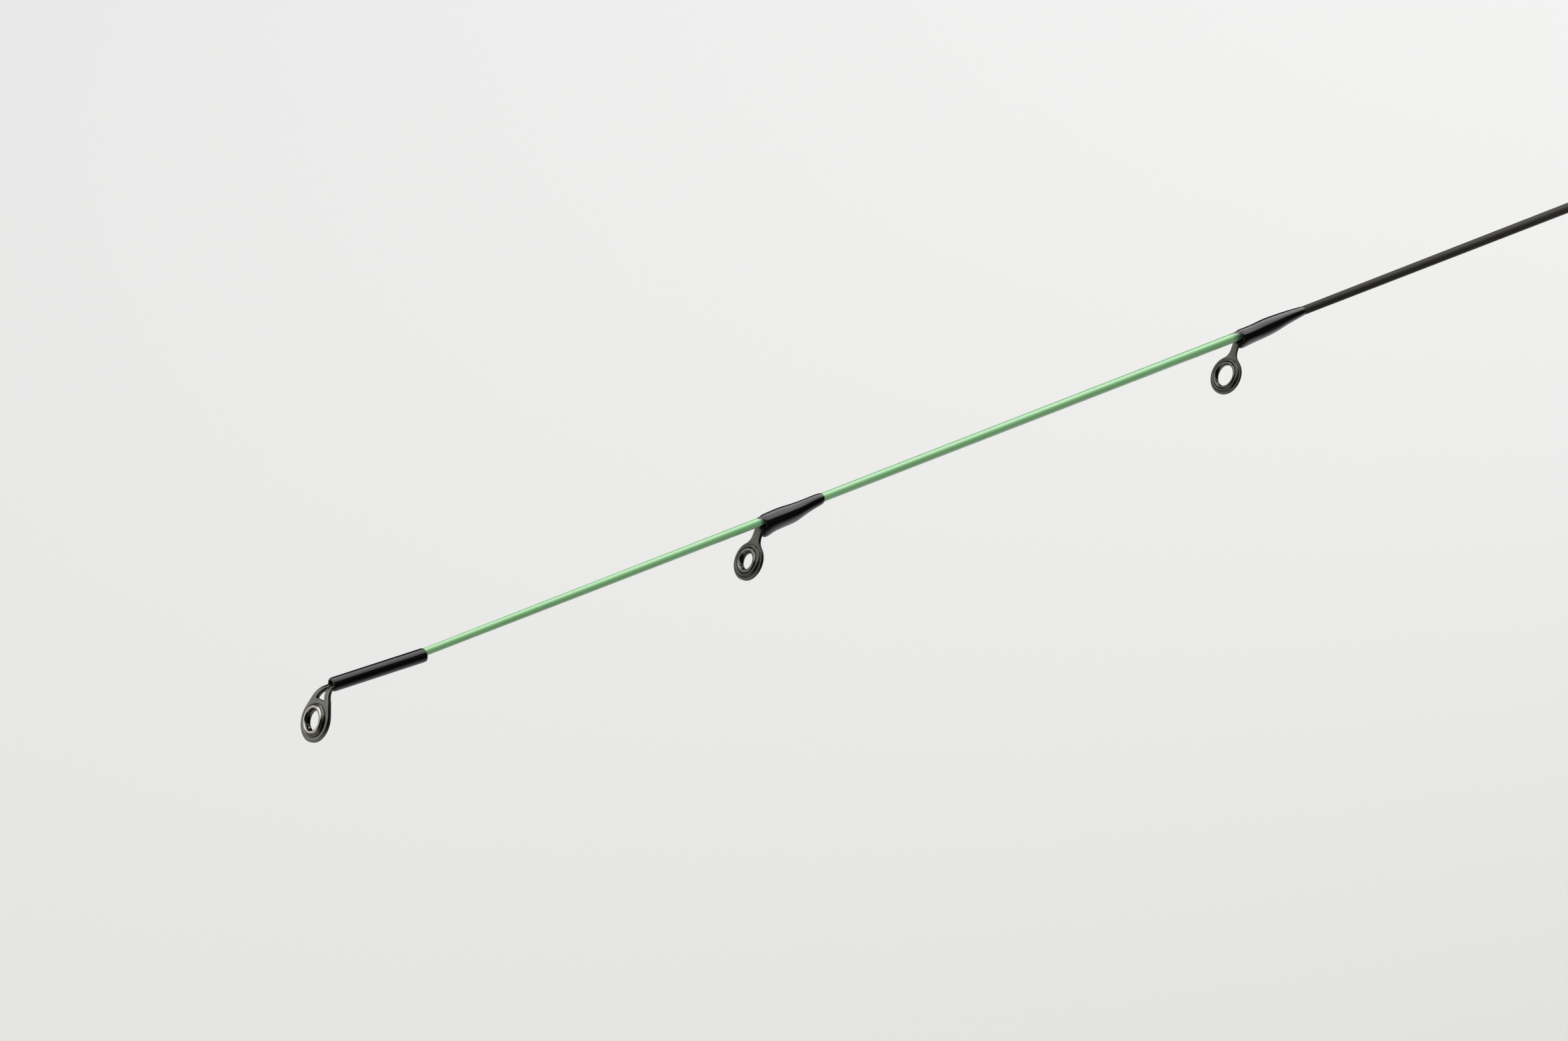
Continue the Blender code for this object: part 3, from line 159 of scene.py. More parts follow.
# how bright the floor looks in a gloss surface, from the camera's side (-Y) to the far side
FLOOR_MIRRORED = [
    (-1.5, 0.01), (-0.6, 0.09), (-0.25, 0.42), (0.0, 0.60), (0.3, 0.42), (1.0, 0.14), (2.0, 0.04),
]

bpy.ops.object.select_all(action="DESELECT")
bpy.ops.mesh.primitive_plane_add(size=FLOOR_SIZE, location=(0.0, 0.0, FLOOR_Z))
floor = bpy.context.object
floor.name = "floor"
floor_paint = bpy.data.materials.new("floor_paint")
floor_paint.use_nodes = True
tree = floor_paint.node_tree
tree.nodes.clear()
place = add_node(tree, "ShaderNodeTexCoord").outputs["Object"]
split = add_node(tree, "ShaderNodeSeparateXYZ", {0: place})
across, away = split.outputs["X"], split.outputs["Y"]
aside = calculated(tree, "ABSOLUTE", away)
glow = calculated(tree, "MULTIPLY", aside, GLOW_BY_Y_SQUARED)
glow = calculated(tree, "ADD", glow, GLOW_BY_Y)
glow = calculated(tree, "MULTIPLY", glow, aside)
glow = calculated(tree, "ADD", glow, GLOW)
glow = calculated(tree, "ADD", glow, calculated(tree, "MULTIPLY", across, GLOW_BY_X))
glow = calculated(tree, "MINIMUM", calculated(tree, "MAXIMUM", glow, GLOW_LEAST), GLOW_MOST)
round_rod = add_node(
    tree, "ShaderNodeMapping",
    {"Vector": place, "Location": (-ROD_MIDDLE_X * X_STRETCH, 0, 0), "Scale": (X_STRETCH, 1, 1)},
).outputs[0]
reach = add_node(tree, "ShaderNodeVectorMath", {0: round_rod}, operation="LENGTH").outputs["Value"]
far = spread(tree, reach, FAR_START, FAR_END, ease="SMOOTHSTEP")
near = calculated(tree, "SUBTRACT", 1.0, far)
glow_far = calculated(tree, "MULTIPLY", far, GLOW_FAR)
glow = calculated(tree, "ADD", calculated(tree, "MULTIPLY", glow, near), glow_far)
path = add_node(tree, "ShaderNodeLightPath")
seen = calculated(tree, "MAXIMUM", path.outputs["Is Camera Ray"], path.outputs["Is Transmission Ray"])
glow = calculated(tree, "MULTIPLY", glow, seen)
paint = add_node(tree, "ShaderNodeBsdfDiffuse", {"Color": FLOOR_PAINT}).outputs[0]
shine = add_node(tree, "ShaderNodeEmission", {"Strength": glow}).outputs[0]
both = add_node(tree, "ShaderNodeAddShader", {0: paint, 1: shine}).outputs[0]
mirrored = add_node(tree, "ShaderNodeEmission", {"Color": graded(tree, away, FLOOR_MIRRORED)}).outputs[0]
look = add_node(
    tree, "ShaderNodeMixShader", {0: path.outputs["Is Glossy Ray"], 1: both, 2: mirrored}
).outputs[0]
add_node(tree, "ShaderNodeOutputMaterial", {"Surface": look})
floor.data.materials.append(floor_paint)
floor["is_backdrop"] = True
print("floor, mm under the rod:", round(-FLOOR_Z / MM))

# %% The sky, dark for gloss surfaces but for one pale card
SKY_LIGHT = (0.30, 0.30, 0.30, 1.0)
SKY_PALE = (0.86, 0.86, 0.86, 1.0)
SKY_DARK = (0.022, 0.022, 0.022, 1.0)
CARD_GLOW = (1.05, 1.05, 1.05, 1.0)
CARD_WAY = (-0.607, 0.742, 0.28)
CARD_EDGE, CARD_FULL = 0.60, 0.93

world = bpy.data.worlds.new("studio_sky")
bpy.context.scene.world = world
world.use_nodes = True
tree = world.node_tree
tree.nodes.clear()
way = add_node(tree, "ShaderNodeTexCoord").outputs["Generated"]
towards = add_node(
    tree, "ShaderNodeVectorMath", {0: way, 1: CARD_WAY}, operation="DOT_PRODUCT"
).outputs["Value"]
card = spread(tree, towards, CARD_EDGE, CARD_FULL, ease="SMOOTHSTEP")
mirrored_sky = mixed(tree, card, SKY_DARK, CARD_GLOW)
path = add_node(tree, "ShaderNodeLightPath")
sky = mixed(tree, path.outputs["Is Glossy Ray"], SKY_LIGHT, mirrored_sky)
sky = mixed(tree, path.outputs["Is Camera Ray"], sky, SKY_PALE)
sky = mixed(tree, path.outputs["Is Transmission Ray"], sky, SKY_PALE)
shown = add_node(tree, "ShaderNodeBackground", {"Color": sky, "Strength": 1.0}).outputs[0]
add_node(tree, "ShaderNodeOutputWorld", {"Surface": shown})

# %% The soft box over the rod, brightest at the back
BOX_HEIGHT = 1.2
BOX_LENGTH = 5.2
BOX_MIDDLE_X = -1.22
# where each strip starts and ends along Y, and how brightly it glows
BOX_STRIPS = [(-1.08, -0.66, 0.80), (-0.66, -0.25, 1.05), (-0.25, 0.95, 1.42)]
WATTS_PER_GLOW = 4.0

for number, (front_y, back_y, strip_glow) in enumerate(BOX_STRIPS, start=1):
    strip_data = bpy.data.lights.new(f"soft_box_{number}", "AREA")
    strip_data.shape = "RECTANGLE"
    strip_data.size = BOX_LENGTH
    strip_data.size_y = back_y - front_y
    strip_data.energy = strip_glow * WATTS_PER_GLOW * BOX_LENGTH * strip_data.size_y
    strip = bpy.data.objects.new(f"soft_box_{number}", strip_data)
    strip.location = (BOX_MIDDLE_X, (front_y + back_y) / 2, BOX_HEIGHT)
    strip.visible_camera = False
    bpy.context.scene.collection.objects.link(strip)
    print(strip.name, "watts:", round(strip_data.energy))
bpy.context.scene.view_settings.view_transform = "Standard"

# %% [markdown]
# ## Mixing a finish
# Nothing on a real rod is one flat colour: lacquer pools, metal is brushed, rubber is dusty. Every
# finish here starts from the same recipe. A cloudy noise mixes two near tones and moves the
# roughness, and a second, finer noise lifts the surface. Values that are the same all over, such as
# a clear coat, stay on the shader itself. Patterns read Object coordinates, so they stay put when a
# section slides out.

# %% The common recipe
CLOUD_LOW, CLOUD_HIGH = 0.35, 0.65
CLOUD_DETAIL, GRAIN_DETAIL = 6.0, 3.0
NO_STRETCH = (1, 1, 1)


def object_place(tree):
    """The place of a point on its piece."""
    return add_node(tree, "ShaderNodeTexCoord").outputs["Object"]


def along_rod(tree):
    """How far along the rod a point lies."""
    return add_node(tree, "ShaderNodeSeparateXYZ", {0: object_place(tree)}).outputs["X"]


def stretched(tree, stretch):
    """The place of a point on its piece, with its axes stretched."""
    return add_node(tree, "ShaderNodeMapping", {"Vector": object_place(tree), "Scale": stretch}).outputs[0]


def noise(tree, place, scale, detail, **inputs):
    """A cloudy pattern."""
    inputs |= {"Vector": place, "Scale": scale, "Detail": detail}
    return add_node(tree, "ShaderNodeTexNoise", inputs).outputs["Fac"]


def mix_finish(name, tones, clouds, roughness, bump=(2000.0, 0.1, 0.00001), stretch=NO_STRETCH, **uniform):
    """A finish of two tones in clouds of a given scale; bump is (scale, strength, height in metres)."""
    material = bpy.data.materials.new(name)
    material.use_nodes = True
    tree = material.node_tree
    shader = tree.nodes["Principled BSDF"]
    place = stretched(tree, stretch)
    cloud = noise(tree, place, clouds, CLOUD_DETAIL)
    low, high = ((*tone, 1.0) for tone in tones)
    share = spread(tree, cloud, CLOUD_LOW, CLOUD_HIGH)
    tree.links.new(mixed(tree, share, low, high), shader.inputs["Base Color"])
    tree.links.new(spread(tree, cloud, 0.0, 1.0, *roughness), shader.inputs["Roughness"])
    scale, strength, height = bump
    grain = noise(tree, place, scale, GRAIN_DETAIL)
    lift = add_node(tree, "ShaderNodeBump", {"Strength": strength, "Distance": height, "Height": grain})
    lift.name = "lift"
    tree.links.new(lift.outputs[0], shader.inputs["Normal"])
    for socket, value in uniform.items():
        shader.inputs[socket.replace("_", " ")].default_value = value
    return material


def colour_of(material):
    """The node tree of a finish, the socket of its base colour and the colour that feeds it now."""
    tree = material.node_tree
    socket = tree.nodes["Principled BSDF"].inputs["Base Color"]
    return tree, socket, socket.links[0].from_socket


def lift_more(material, pattern, strength, height):
    """Lifts the surface of a finish by one more pattern, on top of its grain."""
    tree = material.node_tree
    grain = tree.nodes["lift"].outputs[0]
    inputs = {"Strength": strength, "Distance": height, "Height": pattern, "Normal": grain}
    lifted = add_node(tree, "ShaderNodeBump", inputs)
    tree.links.new(lifted.outputs[0], tree.nodes["Principled BSDF"].inputs["Normal"])


# %% The plain finishes
# a finish name, its two tones, the scale of its clouds and the span of its roughness
gunmetal = mix_finish(
    "satin_gunmetal", ((0.142, 0.140, 0.129), (0.170, 0.169, 0.156)), 900.0, (0.25, 0.35),
    bump=(9000.0, 0.12, 0.00001), Metallic=1.0,
)
dark_ring = mix_finish(
    "dark_polished_ring", ((0.10, 0.10, 0.095), (0.16, 0.16, 0.15)), 700.0, (0.07, 0.16),
    bump=(5000.0, 0.05, 0.00001), Metallic=1.0,
)
pale_ring = mix_finish(
    "pale_polished_ring", ((0.38, 0.36, 0.315), (0.47, 0.45, 0.40)), 700.0, (0.10, 0.2),
    bump=(5000.0, 0.05, 0.00001), Metallic=1.0,
)
sleeve_black = mix_finish(
    "gloss_black_sleeve", ((0.0012, 0.0012, 0.001), (0.003, 0.003, 0.0028)), 320.0, (0.16, 0.24),
    bump=(1800.0, 0.06, 0.00001), Coat_Weight=0.4, Coat_Roughness=0.08,
)
guide_metal = mix_finish(
    "dark_guide_gunmetal", ((0.080, 0.078, 0.068), (0.118, 0.115, 0.102)), 900.0, (0.28, 0.42),
    bump=(9000.0, 0.12, 0.00001), Metallic=1.0,
)
black_rubber = mix_finish(
    "black_rubber", ((0.012, 0.012, 0.012), (0.028, 0.027, 0.026)), 160.0, (0.55, 0.8),
    bump=(1500.0, 0.35, 0.00006),
)
seat_plastic = mix_finish(
    "seat_plastic", ((0.014, 0.014, 0.015), (0.024, 0.024, 0.025)), 220.0, (0.28, 0.42),
    bump=(2500.0, 0.15, 0.00003), Coat_Weight=0.3, Coat_Roughness=0.15,
)
hood_steel = mix_finish(
    "brushed_hood_steel", ((0.17, 0.17, 0.165), (0.27, 0.27, 0.26)), 1500.0, (0.22, 0.38),
    bump=(3000.0, 0.2, 0.00001), stretch=(0.06, 1, 1), Metallic=1.0,
)
trim_aluminium = mix_finish(
    "turned_trim_aluminium", ((0.30, 0.30, 0.29), (0.42, 0.42, 0.41)), 900.0, (0.18, 0.32),
    bump=(3500.0, 0.2, 0.00001), stretch=(1, 0.08, 0.08), Metallic=1.0,
)
bush_plastic = mix_finish(
    "bush_plastic", ((0.30, 0.28, 0.25), (0.40, 0.38, 0.34)), 300.0, (0.5, 0.7), bump=(1800.0, 0.2, 0.00003)
)
print("plain finishes:", len(bpy.data.materials))

# %% [markdown]
# ## Whipping, lacquer and carbon
# A whipping is fine black thread wound side by side and flooded with clear epoxy. The thread shows
# only as the faintest ribbing, so a Wave texture with one band for each turn lifts the surface a
# little under a heavy clear coat. The quiver tip is painted green up to the second guide and is bare
# carbon behind it, and the epoxy stains the paint where it creeps forward from each whipping.

# %% Epoxied whipping
THREAD_TURN = 0.18 * MM
# a Wave texture of this scale has one band in a metre
WAVE_UNIT = 2 * math.pi / 20


def bands(material, pitch, distortion, profile="SIN"):
    """Bands across the rod, one in each pitch."""
    tree = material.node_tree
    inputs = {"Vector": object_place(tree), "Scale": WAVE_UNIT / pitch, "Distortion": distortion}
    wave = add_node(
        tree, "ShaderNodeTexWave", inputs, wave_type="BANDS", bands_direction="X", wave_profile=profile
    )
    return wave.outputs["Fac"]


whipping = mix_finish(
    "epoxied_whipping", ((0.0012, 0.0012, 0.0012), (0.003, 0.003, 0.003)), 260.0, (0.16, 0.24),
    Coat_Weight=1.0, Coat_Roughness=0.09, Coat_IOR=1.55, Specular_IOR_Level=0.4,
)
lift_more(whipping, bands(whipping, THREAD_TURN, 0.0), 0.12, 0.00001)

# %% Bare carbon
TAPE_PITCH = 1.6 * MM

carbon = mix_finish(
    "bare_carbon", ((0.025, 0.0225, 0.0185), (0.041, 0.037, 0.031)), 180.0, (0.42, 0.56),
    bump=(1600.0, 0.12, 0.00002), stretch=(0.15, 1, 1), Specular_IOR_Level=0.32,
)
lift_more(carbon, bands(carbon, TAPE_PITCH, 0.6, "SAW"), 0.08, 0.00002)

# %% Green lacquer that ends under the second whipping
GUIDE_COUNT = 9
ROOTS = [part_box(f"guide_{number}_wrap")[0].x for number in range(1, GUIDE_COUNT + 1)]
LACQUER_END_X = ROOTS[1] + 8.0 * MM
# how far the stain of the epoxy reaches from each of the first two whippings
CREEPS = (1.3 * MM, 2.8 * MM)
CREEP_START, CREEP_STRENGTH = 0.1 * MM, 0.95
STAIN = (0.014, 0.060, 0.034, 1.0)

lacquer = mix_finish(
    "green_lacquer", ((0.24, 0.585, 0.23), (0.28, 0.63, 0.27)), 120.0, (0.26, 0.36),
    bump=(1400.0, 0.08, 0.00002), stretch=(0.3, 1, 1), Coat_Weight=1.0, Coat_Roughness=0.25, Coat_IOR=1.9,
    Specular_IOR_Level=0.9,
)
tree, base_colour, green = colour_of(lacquer)
along = along_rod(tree)
stains = []
for root, creep in zip(ROOTS, CREEPS):
    off = calculated(tree, "ABSOLUTE", calculated(tree, "SUBTRACT", along, root))
    stains.append(spread(tree, off, CREEP_START, creep, CREEP_STRENGTH, 0.0, ease="SMOOTHERSTEP"))
stained = calculated(tree, "MAXIMUM", *stains)
tree.links.new(mixed(tree, stained, green, STAIN), base_colour)
print("lacquer ends at X, mm:", round(LACQUER_END_X / MM, 1))

# %% [markdown]
# ## Cork
# Rod grips are cork rings glued end to end and sanded. Two tones of warm brown in soft clouds give the
# bark, a stretched noise gives the dark lenticels that open as pits, and every ring is a shade apart
# from its neighbour. The pits are both darker and lower, so one mask feeds the colour and the bump.

# %% Cork with pits and glued rings
RING_OF_CORK = 12.7 * MM
RING_SHADES = ((0.90, 0.88, 0.86, 1.0), (1.0, 1.0, 1.0, 1.0))
PIT_SCALE, PIT_DETAIL, PIT_STRETCH = 620.0, 5.0, (0.35, 1, 1)
PIT_LOW, PIT_HIGH = 0.60, 0.68
PIT_BROWN = (0.10, 0.045, 0.018, 1.0)

cork = mix_finish(
    "sanded_cork", ((0.43, 0.255, 0.125), (0.56, 0.36, 0.19)), 210.0, (0.62, 0.82),
    bump=(1100.0, 0.35, 0.00008),
)
tree, base_colour, bark = colour_of(cork)
ring_number = calculated(tree, "FLOOR", calculated(tree, "DIVIDE", along_rod(tree), RING_OF_CORK))
shade = add_node(tree, "ShaderNodeTexWhiteNoise", {"W": ring_number}, noise_dimensions="1D").outputs["Value"]
bark = mixed(tree, 1.0, bark, mixed(tree, shade, *RING_SHADES), blend_type="MULTIPLY")
spots = noise(tree, stretched(tree, PIT_STRETCH), PIT_SCALE, PIT_DETAIL, Roughness=0.7)
pits = spread(tree, spots, PIT_LOW, PIT_HIGH)
tree.links.new(mixed(tree, pits, bark, PIT_BROWN), base_colour)
lift_more(cork, calculated(tree, "SUBTRACT", 1.0, pits), 0.7, 0.0003)

# %% [markdown]
# ## Turned work
# Most of a rod is round. A turned piece could be a profile taken round with Spin, but ring by ring is
# easier to follow: a circle is added at the first point of the profile, and for each further point it
# is extruded along the axis and resized. A profile that comes back to its first point makes a hollow
# wall, whose last ring is merged with its first.

# %% Helpers for turned work
def clear_desk():
    """Leaves edit mode and lets go of everything, so that an operator acts on one piece alone."""
    if bpy.context.mode != "OBJECT":
        bpy.ops.object.mode_set(mode="OBJECT")
    bpy.context.tool_settings.mesh_select_mode = (True, False, False)
    bpy.ops.object.select_all(action="DESELECT")


def take_up(piece):
    """Makes one piece the active and only chosen one."""
    clear_desk()
    bpy.context.view_layer.objects.active = piece
    piece.select_set(True)


def put_down(name):
    """Ends the editing of the piece in hand, with its place in its mesh."""
    bpy.ops.object.mode_set(mode="OBJECT")
    bpy.ops.object.transform_apply(location=True, rotation=True, scale=True)
    piece = bpy.context.object
    piece.name = name
    piece.data.name = name
    return piece


MERGE = 0.0005 * MM
# two places this near to each other, in millimetres, count as one
NEAR = 0.01


def turned(name, profile, origin=(0, 0, 0), tilt=0.0, sides=64):
    """A piece turned about an axis that dips by tilt, from (distance, radius) pairs in millimetres."""
    clear_desk()
    axis = Vector((math.cos(tilt), 0, -math.sin(tilt)))
    base = Vector(origin)
    hollow = tuple(profile[0]) == tuple(profile[-1])
    distance, radius = profile[0]
    bpy.ops.mesh.primitive_circle_add(
        vertices=sides, radius=radius * MM, fill_type="NOTHING" if hollow else "NGON",
        location=base + axis * distance * MM, rotation=(0, math.pi / 2 + tilt, 0), enter_editmode=True,
    )
    for next_distance, next_radius in profile[1:]:
        step = axis * (next_distance - distance) * MM
        bpy.ops.mesh.extrude_region_move(TRANSFORM_OT_translate={"value": step})
        if next_radius != radius:
            grow = (next_radius / radius,) * 3
            bpy.ops.transform.resize(value=grow, center_override=base + axis * next_distance * MM)
        distance, radius = next_distance, next_radius
    bpy.ops.mesh.select_all(action="SELECT")
    if hollow:
        bpy.ops.mesh.remove_doubles(threshold=MERGE)
    bpy.ops.mesh.normals_make_consistent(inside=False)
    return put_down(name)


def choose(piece, wanted, kind="VERT"):
    """Selects the points or faces of a piece whose middle passes a test, ready for an operator."""
    take_up(piece)
    bpy.ops.object.mode_set(mode="EDIT")
    bpy.ops.mesh.select_mode(type=kind)
    bpy.ops.mesh.select_all(action="DESELECT")
    edited = bmesh.from_edit_mesh(piece.data)
    if kind == "VERT":
        for corner in edited.verts:
            corner.select = wanted(corner.co)
    else:
        for face in edited.faces:
            face.select = wanted(face.calc_center_median())
    edited.select_flush_mode()
    bmesh.update_edit_mesh(piece.data)


# %% A helper that finishes a piece
SMOOTH_BELOW = math.radians(38)
SHEET_ANGLE = 50


def apply_modifier(piece, kind, **settings):
    """Adds a modifier to a piece and applies it."""
    take_up(piece)
    bpy.ops.object.modifier_add(type=kind)
    modifier = piece.modifiers[-1]
    for name, value in settings.items():
        setattr(modifier, name, value)
    bpy.ops.object.modifier_apply(modifier=modifier.name)


def round_edges(piece, width, segments=3, angle=35):
    """Breaks every edge sharper than an angle, as tumbling or sanding does; width in millimetres."""
    apply_modifier(
        piece, "BEVEL", width=width * MM, segments=segments, limit_method="ANGLE",
        angle_limit=math.radians(angle), harden_normals=False,
    )


def finish_piece(piece, finish, body, slot, *nodes, smooth=SMOOTH_BELOW):
    """Shades a piece, paints it and hangs it on its body in place of the solids that it stands for."""
    take_up(piece)
    bpy.ops.object.shade_smooth_by_angle(angle=smooth)
    piece.data.materials.clear()
    piece.data.materials.append(finish)
    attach(piece, body)
    if nodes:
        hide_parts(*nodes)
    print(f"{piece.name}: {len(piece.data.polygons)} faces")
    return piece


def turn_and_finish(name, profile, finish, body, slot, node, **how):
    """A turned piece that needs no more work, with its finish; how is what turned takes."""
    return finish_piece(turned(name, profile, **how), finish, body, slot, node)


# %% [markdown]
# ## The tip-top's ring
# The line leaves the rod through a hard polished ring that is pressed into the tip-top's plate. Its
# front is a pale flat annulus, and its bore is rounded so that no edge meets the line. The bore gets
# painted shade, for the dark that it reflects: its faces are selected by their distance from the axis
# and get a second, darker finish.

# %% Turn the ring of the tip-top
TIP_LEAN = math.radians(28.2)
TIP_HEIGHT = 4.25
TIP_SHEET = 0.64
TIP_FRONT = 0.275


def ring_centre(root_x, height, lean):
    """The middle of a guide's ring, hung from its root on the axis of the rod."""
    return Vector((root_x - height * math.sin(lean) * MM, 0, -height * math.cos(lean) * MM))


def from_axis(place, centre, lean):
    """How far a place is from the axis of a leaning ring, in millimetres."""
    axis = Vector((math.cos(lean), 0, -math.sin(lean)))
    return (place - centre).cross(axis).length / MM


tip_centre = ring_centre(TIP_X, TIP_HEIGHT, TIP_LEAN)
TIP_RING = [
    (-0.45, 2.14), (-0.62, 2.12), (-0.71, 2.06), (-0.765, 1.95), (-0.775, 1.84), (-0.765, 1.72),
    (-0.72, 1.62), (-0.62, 1.545), (-0.45, 1.475), (-0.25, 1.425), (-0.05, 1.402), (0.10, 1.41),
    (0.22, 1.45), (0.31, 1.53), (0.365, 1.66), (0.38, 1.85), (0.36, 2.03), (0.28, 2.12), (0.1, 2.14),
    (-0.45, 2.14),
]
BORE_EDGE = 1.60
ring = turn_and_finish(
    "tip_ring", TIP_RING, pale_ring, "quiver_tip", "tip_ring", "tip_top_ring", origin=tip_centre,
    tilt=TIP_LEAN, sides=96,
)
# the darker finish on the bore is painted shade for the dark room that the bore reflects
ring.data.materials.append(dark_ring)
choose(ring, lambda p: from_axis(p, tip_centre, TIP_LEAN) < BORE_EDGE, "FACE")
ring.active_material_index = 1
bpy.ops.object.material_slot_assign()
clear_desk()

# %% [markdown]
# ## The tip-top's frame
# The frame is stamped from thick sheet: a round plate, and two rails that leave a window between them
# and curve back into a tube. It is modelled the way it is made. A flat sheet is cut and set out in its
# own plane, the rails are drawn row by row round the bend, and Solidify and Bevel give the gauge and
# the tumbled edges. Last the plate is leaned over. The low dark collar round the ring is turned.

# %% Where a bent leg runs
def leg_path(height, lean, level, bend):
    """The side of a bent leg in its plate's plane: a point (up the leg, back from it) for a distance.

    The leg rises from the ring and turns to run along the rod, a level below its axis. It returns the
    point's function and the distances where the bend starts and ends, all in millimetres.
    """
    sweep = math.pi / 2 - lean
    tangent = bend * math.tan(sweep / 2)
    straight = height - level / math.cos(lean) - tangent
    arc = bend * sweep

    def point(distance):
        if distance <= straight:
            return distance, 0.0
        angle = min(distance - straight, arc) / bend
        up, back = straight + bend * math.sin(angle), bend * (1 - math.cos(angle))
        extra = max(0.0, distance - straight - arc)
        return up + extra * math.cos(sweep), back + extra * math.sin(sweep)

    return point, straight, straight + arc


def lean_over(piece, centre, lean):
    """Turns a piece from its own plane onto the rod: up the leg was Y and back from the plate was Z."""
    take_up(piece)
    rise = Vector((math.sin(lean), 0, math.cos(lean)))
    back = Vector((math.cos(lean), 0, -math.sin(lean)))
    turn = Matrix((Vector((0, 1, 0)), rise, back)).transposed().to_4x4()
    piece.matrix_world = Matrix.Translation(centre) @ turn
    bpy.ops.object.transform_apply(location=True, rotation=True, scale=True)


def cut_plate(plate, hole, sides):
    """Starts a flat round plate with a hole, in the XY plane."""
    clear_desk()
    bpy.ops.mesh.primitive_circle_add(
        vertices=sides, radius=hole * MM, fill_type="NOTHING", enter_editmode=True
    )
    middle = (hole + plate) / 2
    for radius, last in ((middle, hole), (plate, middle)):
        bpy.ops.mesh.extrude_region_move(TRANSFORM_OT_translate={"value": (0, 0, 0)})
        bpy.ops.transform.resize(value=(radius / last,) * 3, center_override=(0, 0, 0))


def choose_row(test):
    """In edit mode, selects the edges whose two ends both pass a test."""
    bpy.ops.mesh.select_mode(type="EDGE")
    bpy.ops.mesh.select_all(action="DESELECT")
    edited = bmesh.from_edit_mesh(bpy.context.object.data)
    for edge in edited.edges:
        edge.select = all(test(end.co / MM) for end in edge.verts)
    edited.select_flush_mode()
    bmesh.update_edit_mesh(bpy.context.object.data)


# %% Stamp and bend the tip-top's frame
TIP_PLATE = 3.10
TIP_HOLE = 2.12
TIP_SIDES = 72
TIP_BEND = 1.8
SILL = 3.05
SILL_HALF = 2.02
WINDOW_HALF = 1.10
MOUTH_HALF = 0.80
MOUTH_GAP = 0.03
RAIL_ROWS, RAIL_TAIL = 20, 1.4
RAILS_MEET = 0.88
FLANK_POINTS = 4
CROWN_HALF = math.radians(63)
MOUTH_Z, RAIL_DROP = 0.477, 0.267
TIP_ROUND = 0.11

point, bend_start, bend_end = leg_path(TIP_HEIGHT, TIP_LEAN, RAIL_DROP - MOUTH_Z, TIP_BEND)
cut_plate(TIP_PLATE, TIP_HOLE, TIP_SIDES)
edited = bmesh.from_edit_mesh(bpy.context.object.data)
outer = [v for v in edited.verts if abs(v.co.xy.length / MM - TIP_PLATE) < NEAR]
crown = sorted((v for v in outer if math.atan2(abs(v.co.x), v.co.y) < CROWN_HALF), key=lambda v: v.co.x)
shoulder = [v for v in outer if v not in crown and v.co.y > 0]
shoulder_y = max(v.co.y for v in shoulder) / MM
shoulder_x = max(abs(v.co.x) for v in shoulder if v.co.y / MM > shoulder_y - NEAR) / MM
last = len(crown) - 1
for number, v in enumerate(crown):
    from_side = min(number, last - number)
    side = -1 if number < last / 2 else 1
    if from_side < FLANK_POINTS:
        share = (from_side + 1) / (FLANK_POINTS + 1)
        spot = (shoulder_x + (SILL_HALF - shoulder_x) * share, shoulder_y + (SILL - shoulder_y) * share)
    else:
        bar = (number - FLANK_POINTS) / (last - 2 * FLANK_POINTS) * 2 - 1
        side = 1
        spot = (SILL_HALF * bar, SILL)
    v.co.x, v.co.y = side * spot[0] * MM, spot[1] * MM
bmesh.update_edit_mesh(bpy.context.object.data)
print("crown points:", len(crown), "bend from", round(bend_start, 2), "to", round(bend_end, 2))

bar_step = 2 * SILL_HALF / (last - 2 * FLANK_POINTS)
rail_inner = SILL_HALF - bar_step * round((SILL_HALF - WINDOW_HALF) / bar_step)
for side in (-1, 1):
    choose_row(lambda p: abs(p.y - SILL) < NEAR and rail_inner - NEAR < side * p.x < SILL_HALF + NEAR)
    here, wide = (SILL_HALF + rail_inner) / 2, SILL_HALF - rail_inner
    up, back = SILL, 0.0
    for row in range(1, RAIL_ROWS + 1):
        share = row / RAIL_ROWS
        distance = SILL + (bend_end + RAIL_TAIL - SILL) * share
        ease = min(1.0, (distance - SILL) / (bend_end - SILL) / RAILS_MEET)
        outside = SILL_HALF + (MOUTH_HALF - SILL_HALF) * ease
        inside = rail_inner + (MOUTH_GAP - rail_inner) * ease
        next_here, next_wide = (outside + inside) / 2, outside - inside
        next_up, next_back = point(distance)
        step = (side * (next_here - here) * MM, (next_up - up) * MM, (next_back - back) * MM)
        bpy.ops.mesh.extrude_region_move(TRANSFORM_OT_translate={"value": step})
        middle = (side * next_here * MM, next_up * MM, next_back * MM)
        bpy.ops.transform.resize(value=(next_wide / wide, 1, 1), center_override=middle)
        here, wide, up, back = next_here, next_wide, next_up, next_back
bpy.ops.mesh.select_all(action="SELECT")
bpy.ops.mesh.normals_make_consistent(inside=False)
tip_frame = put_down("tip_frame")
apply_modifier(tip_frame, "SOLIDIFY", thickness=TIP_SHEET * MM, offset=0.0, use_even_offset=True)
round_edges(tip_frame, TIP_ROUND, angle=SHEET_ANGLE)
backwards = Vector((math.cos(TIP_LEAN), 0, -math.sin(TIP_LEAN)))
lean_over(tip_frame, tip_centre + backwards * (TIP_SHEET / 2 - TIP_FRONT) * MM, TIP_LEAN)
finish_piece(tip_frame, gunmetal, "quiver_tip", "guide_frame", "tip_top_frame")
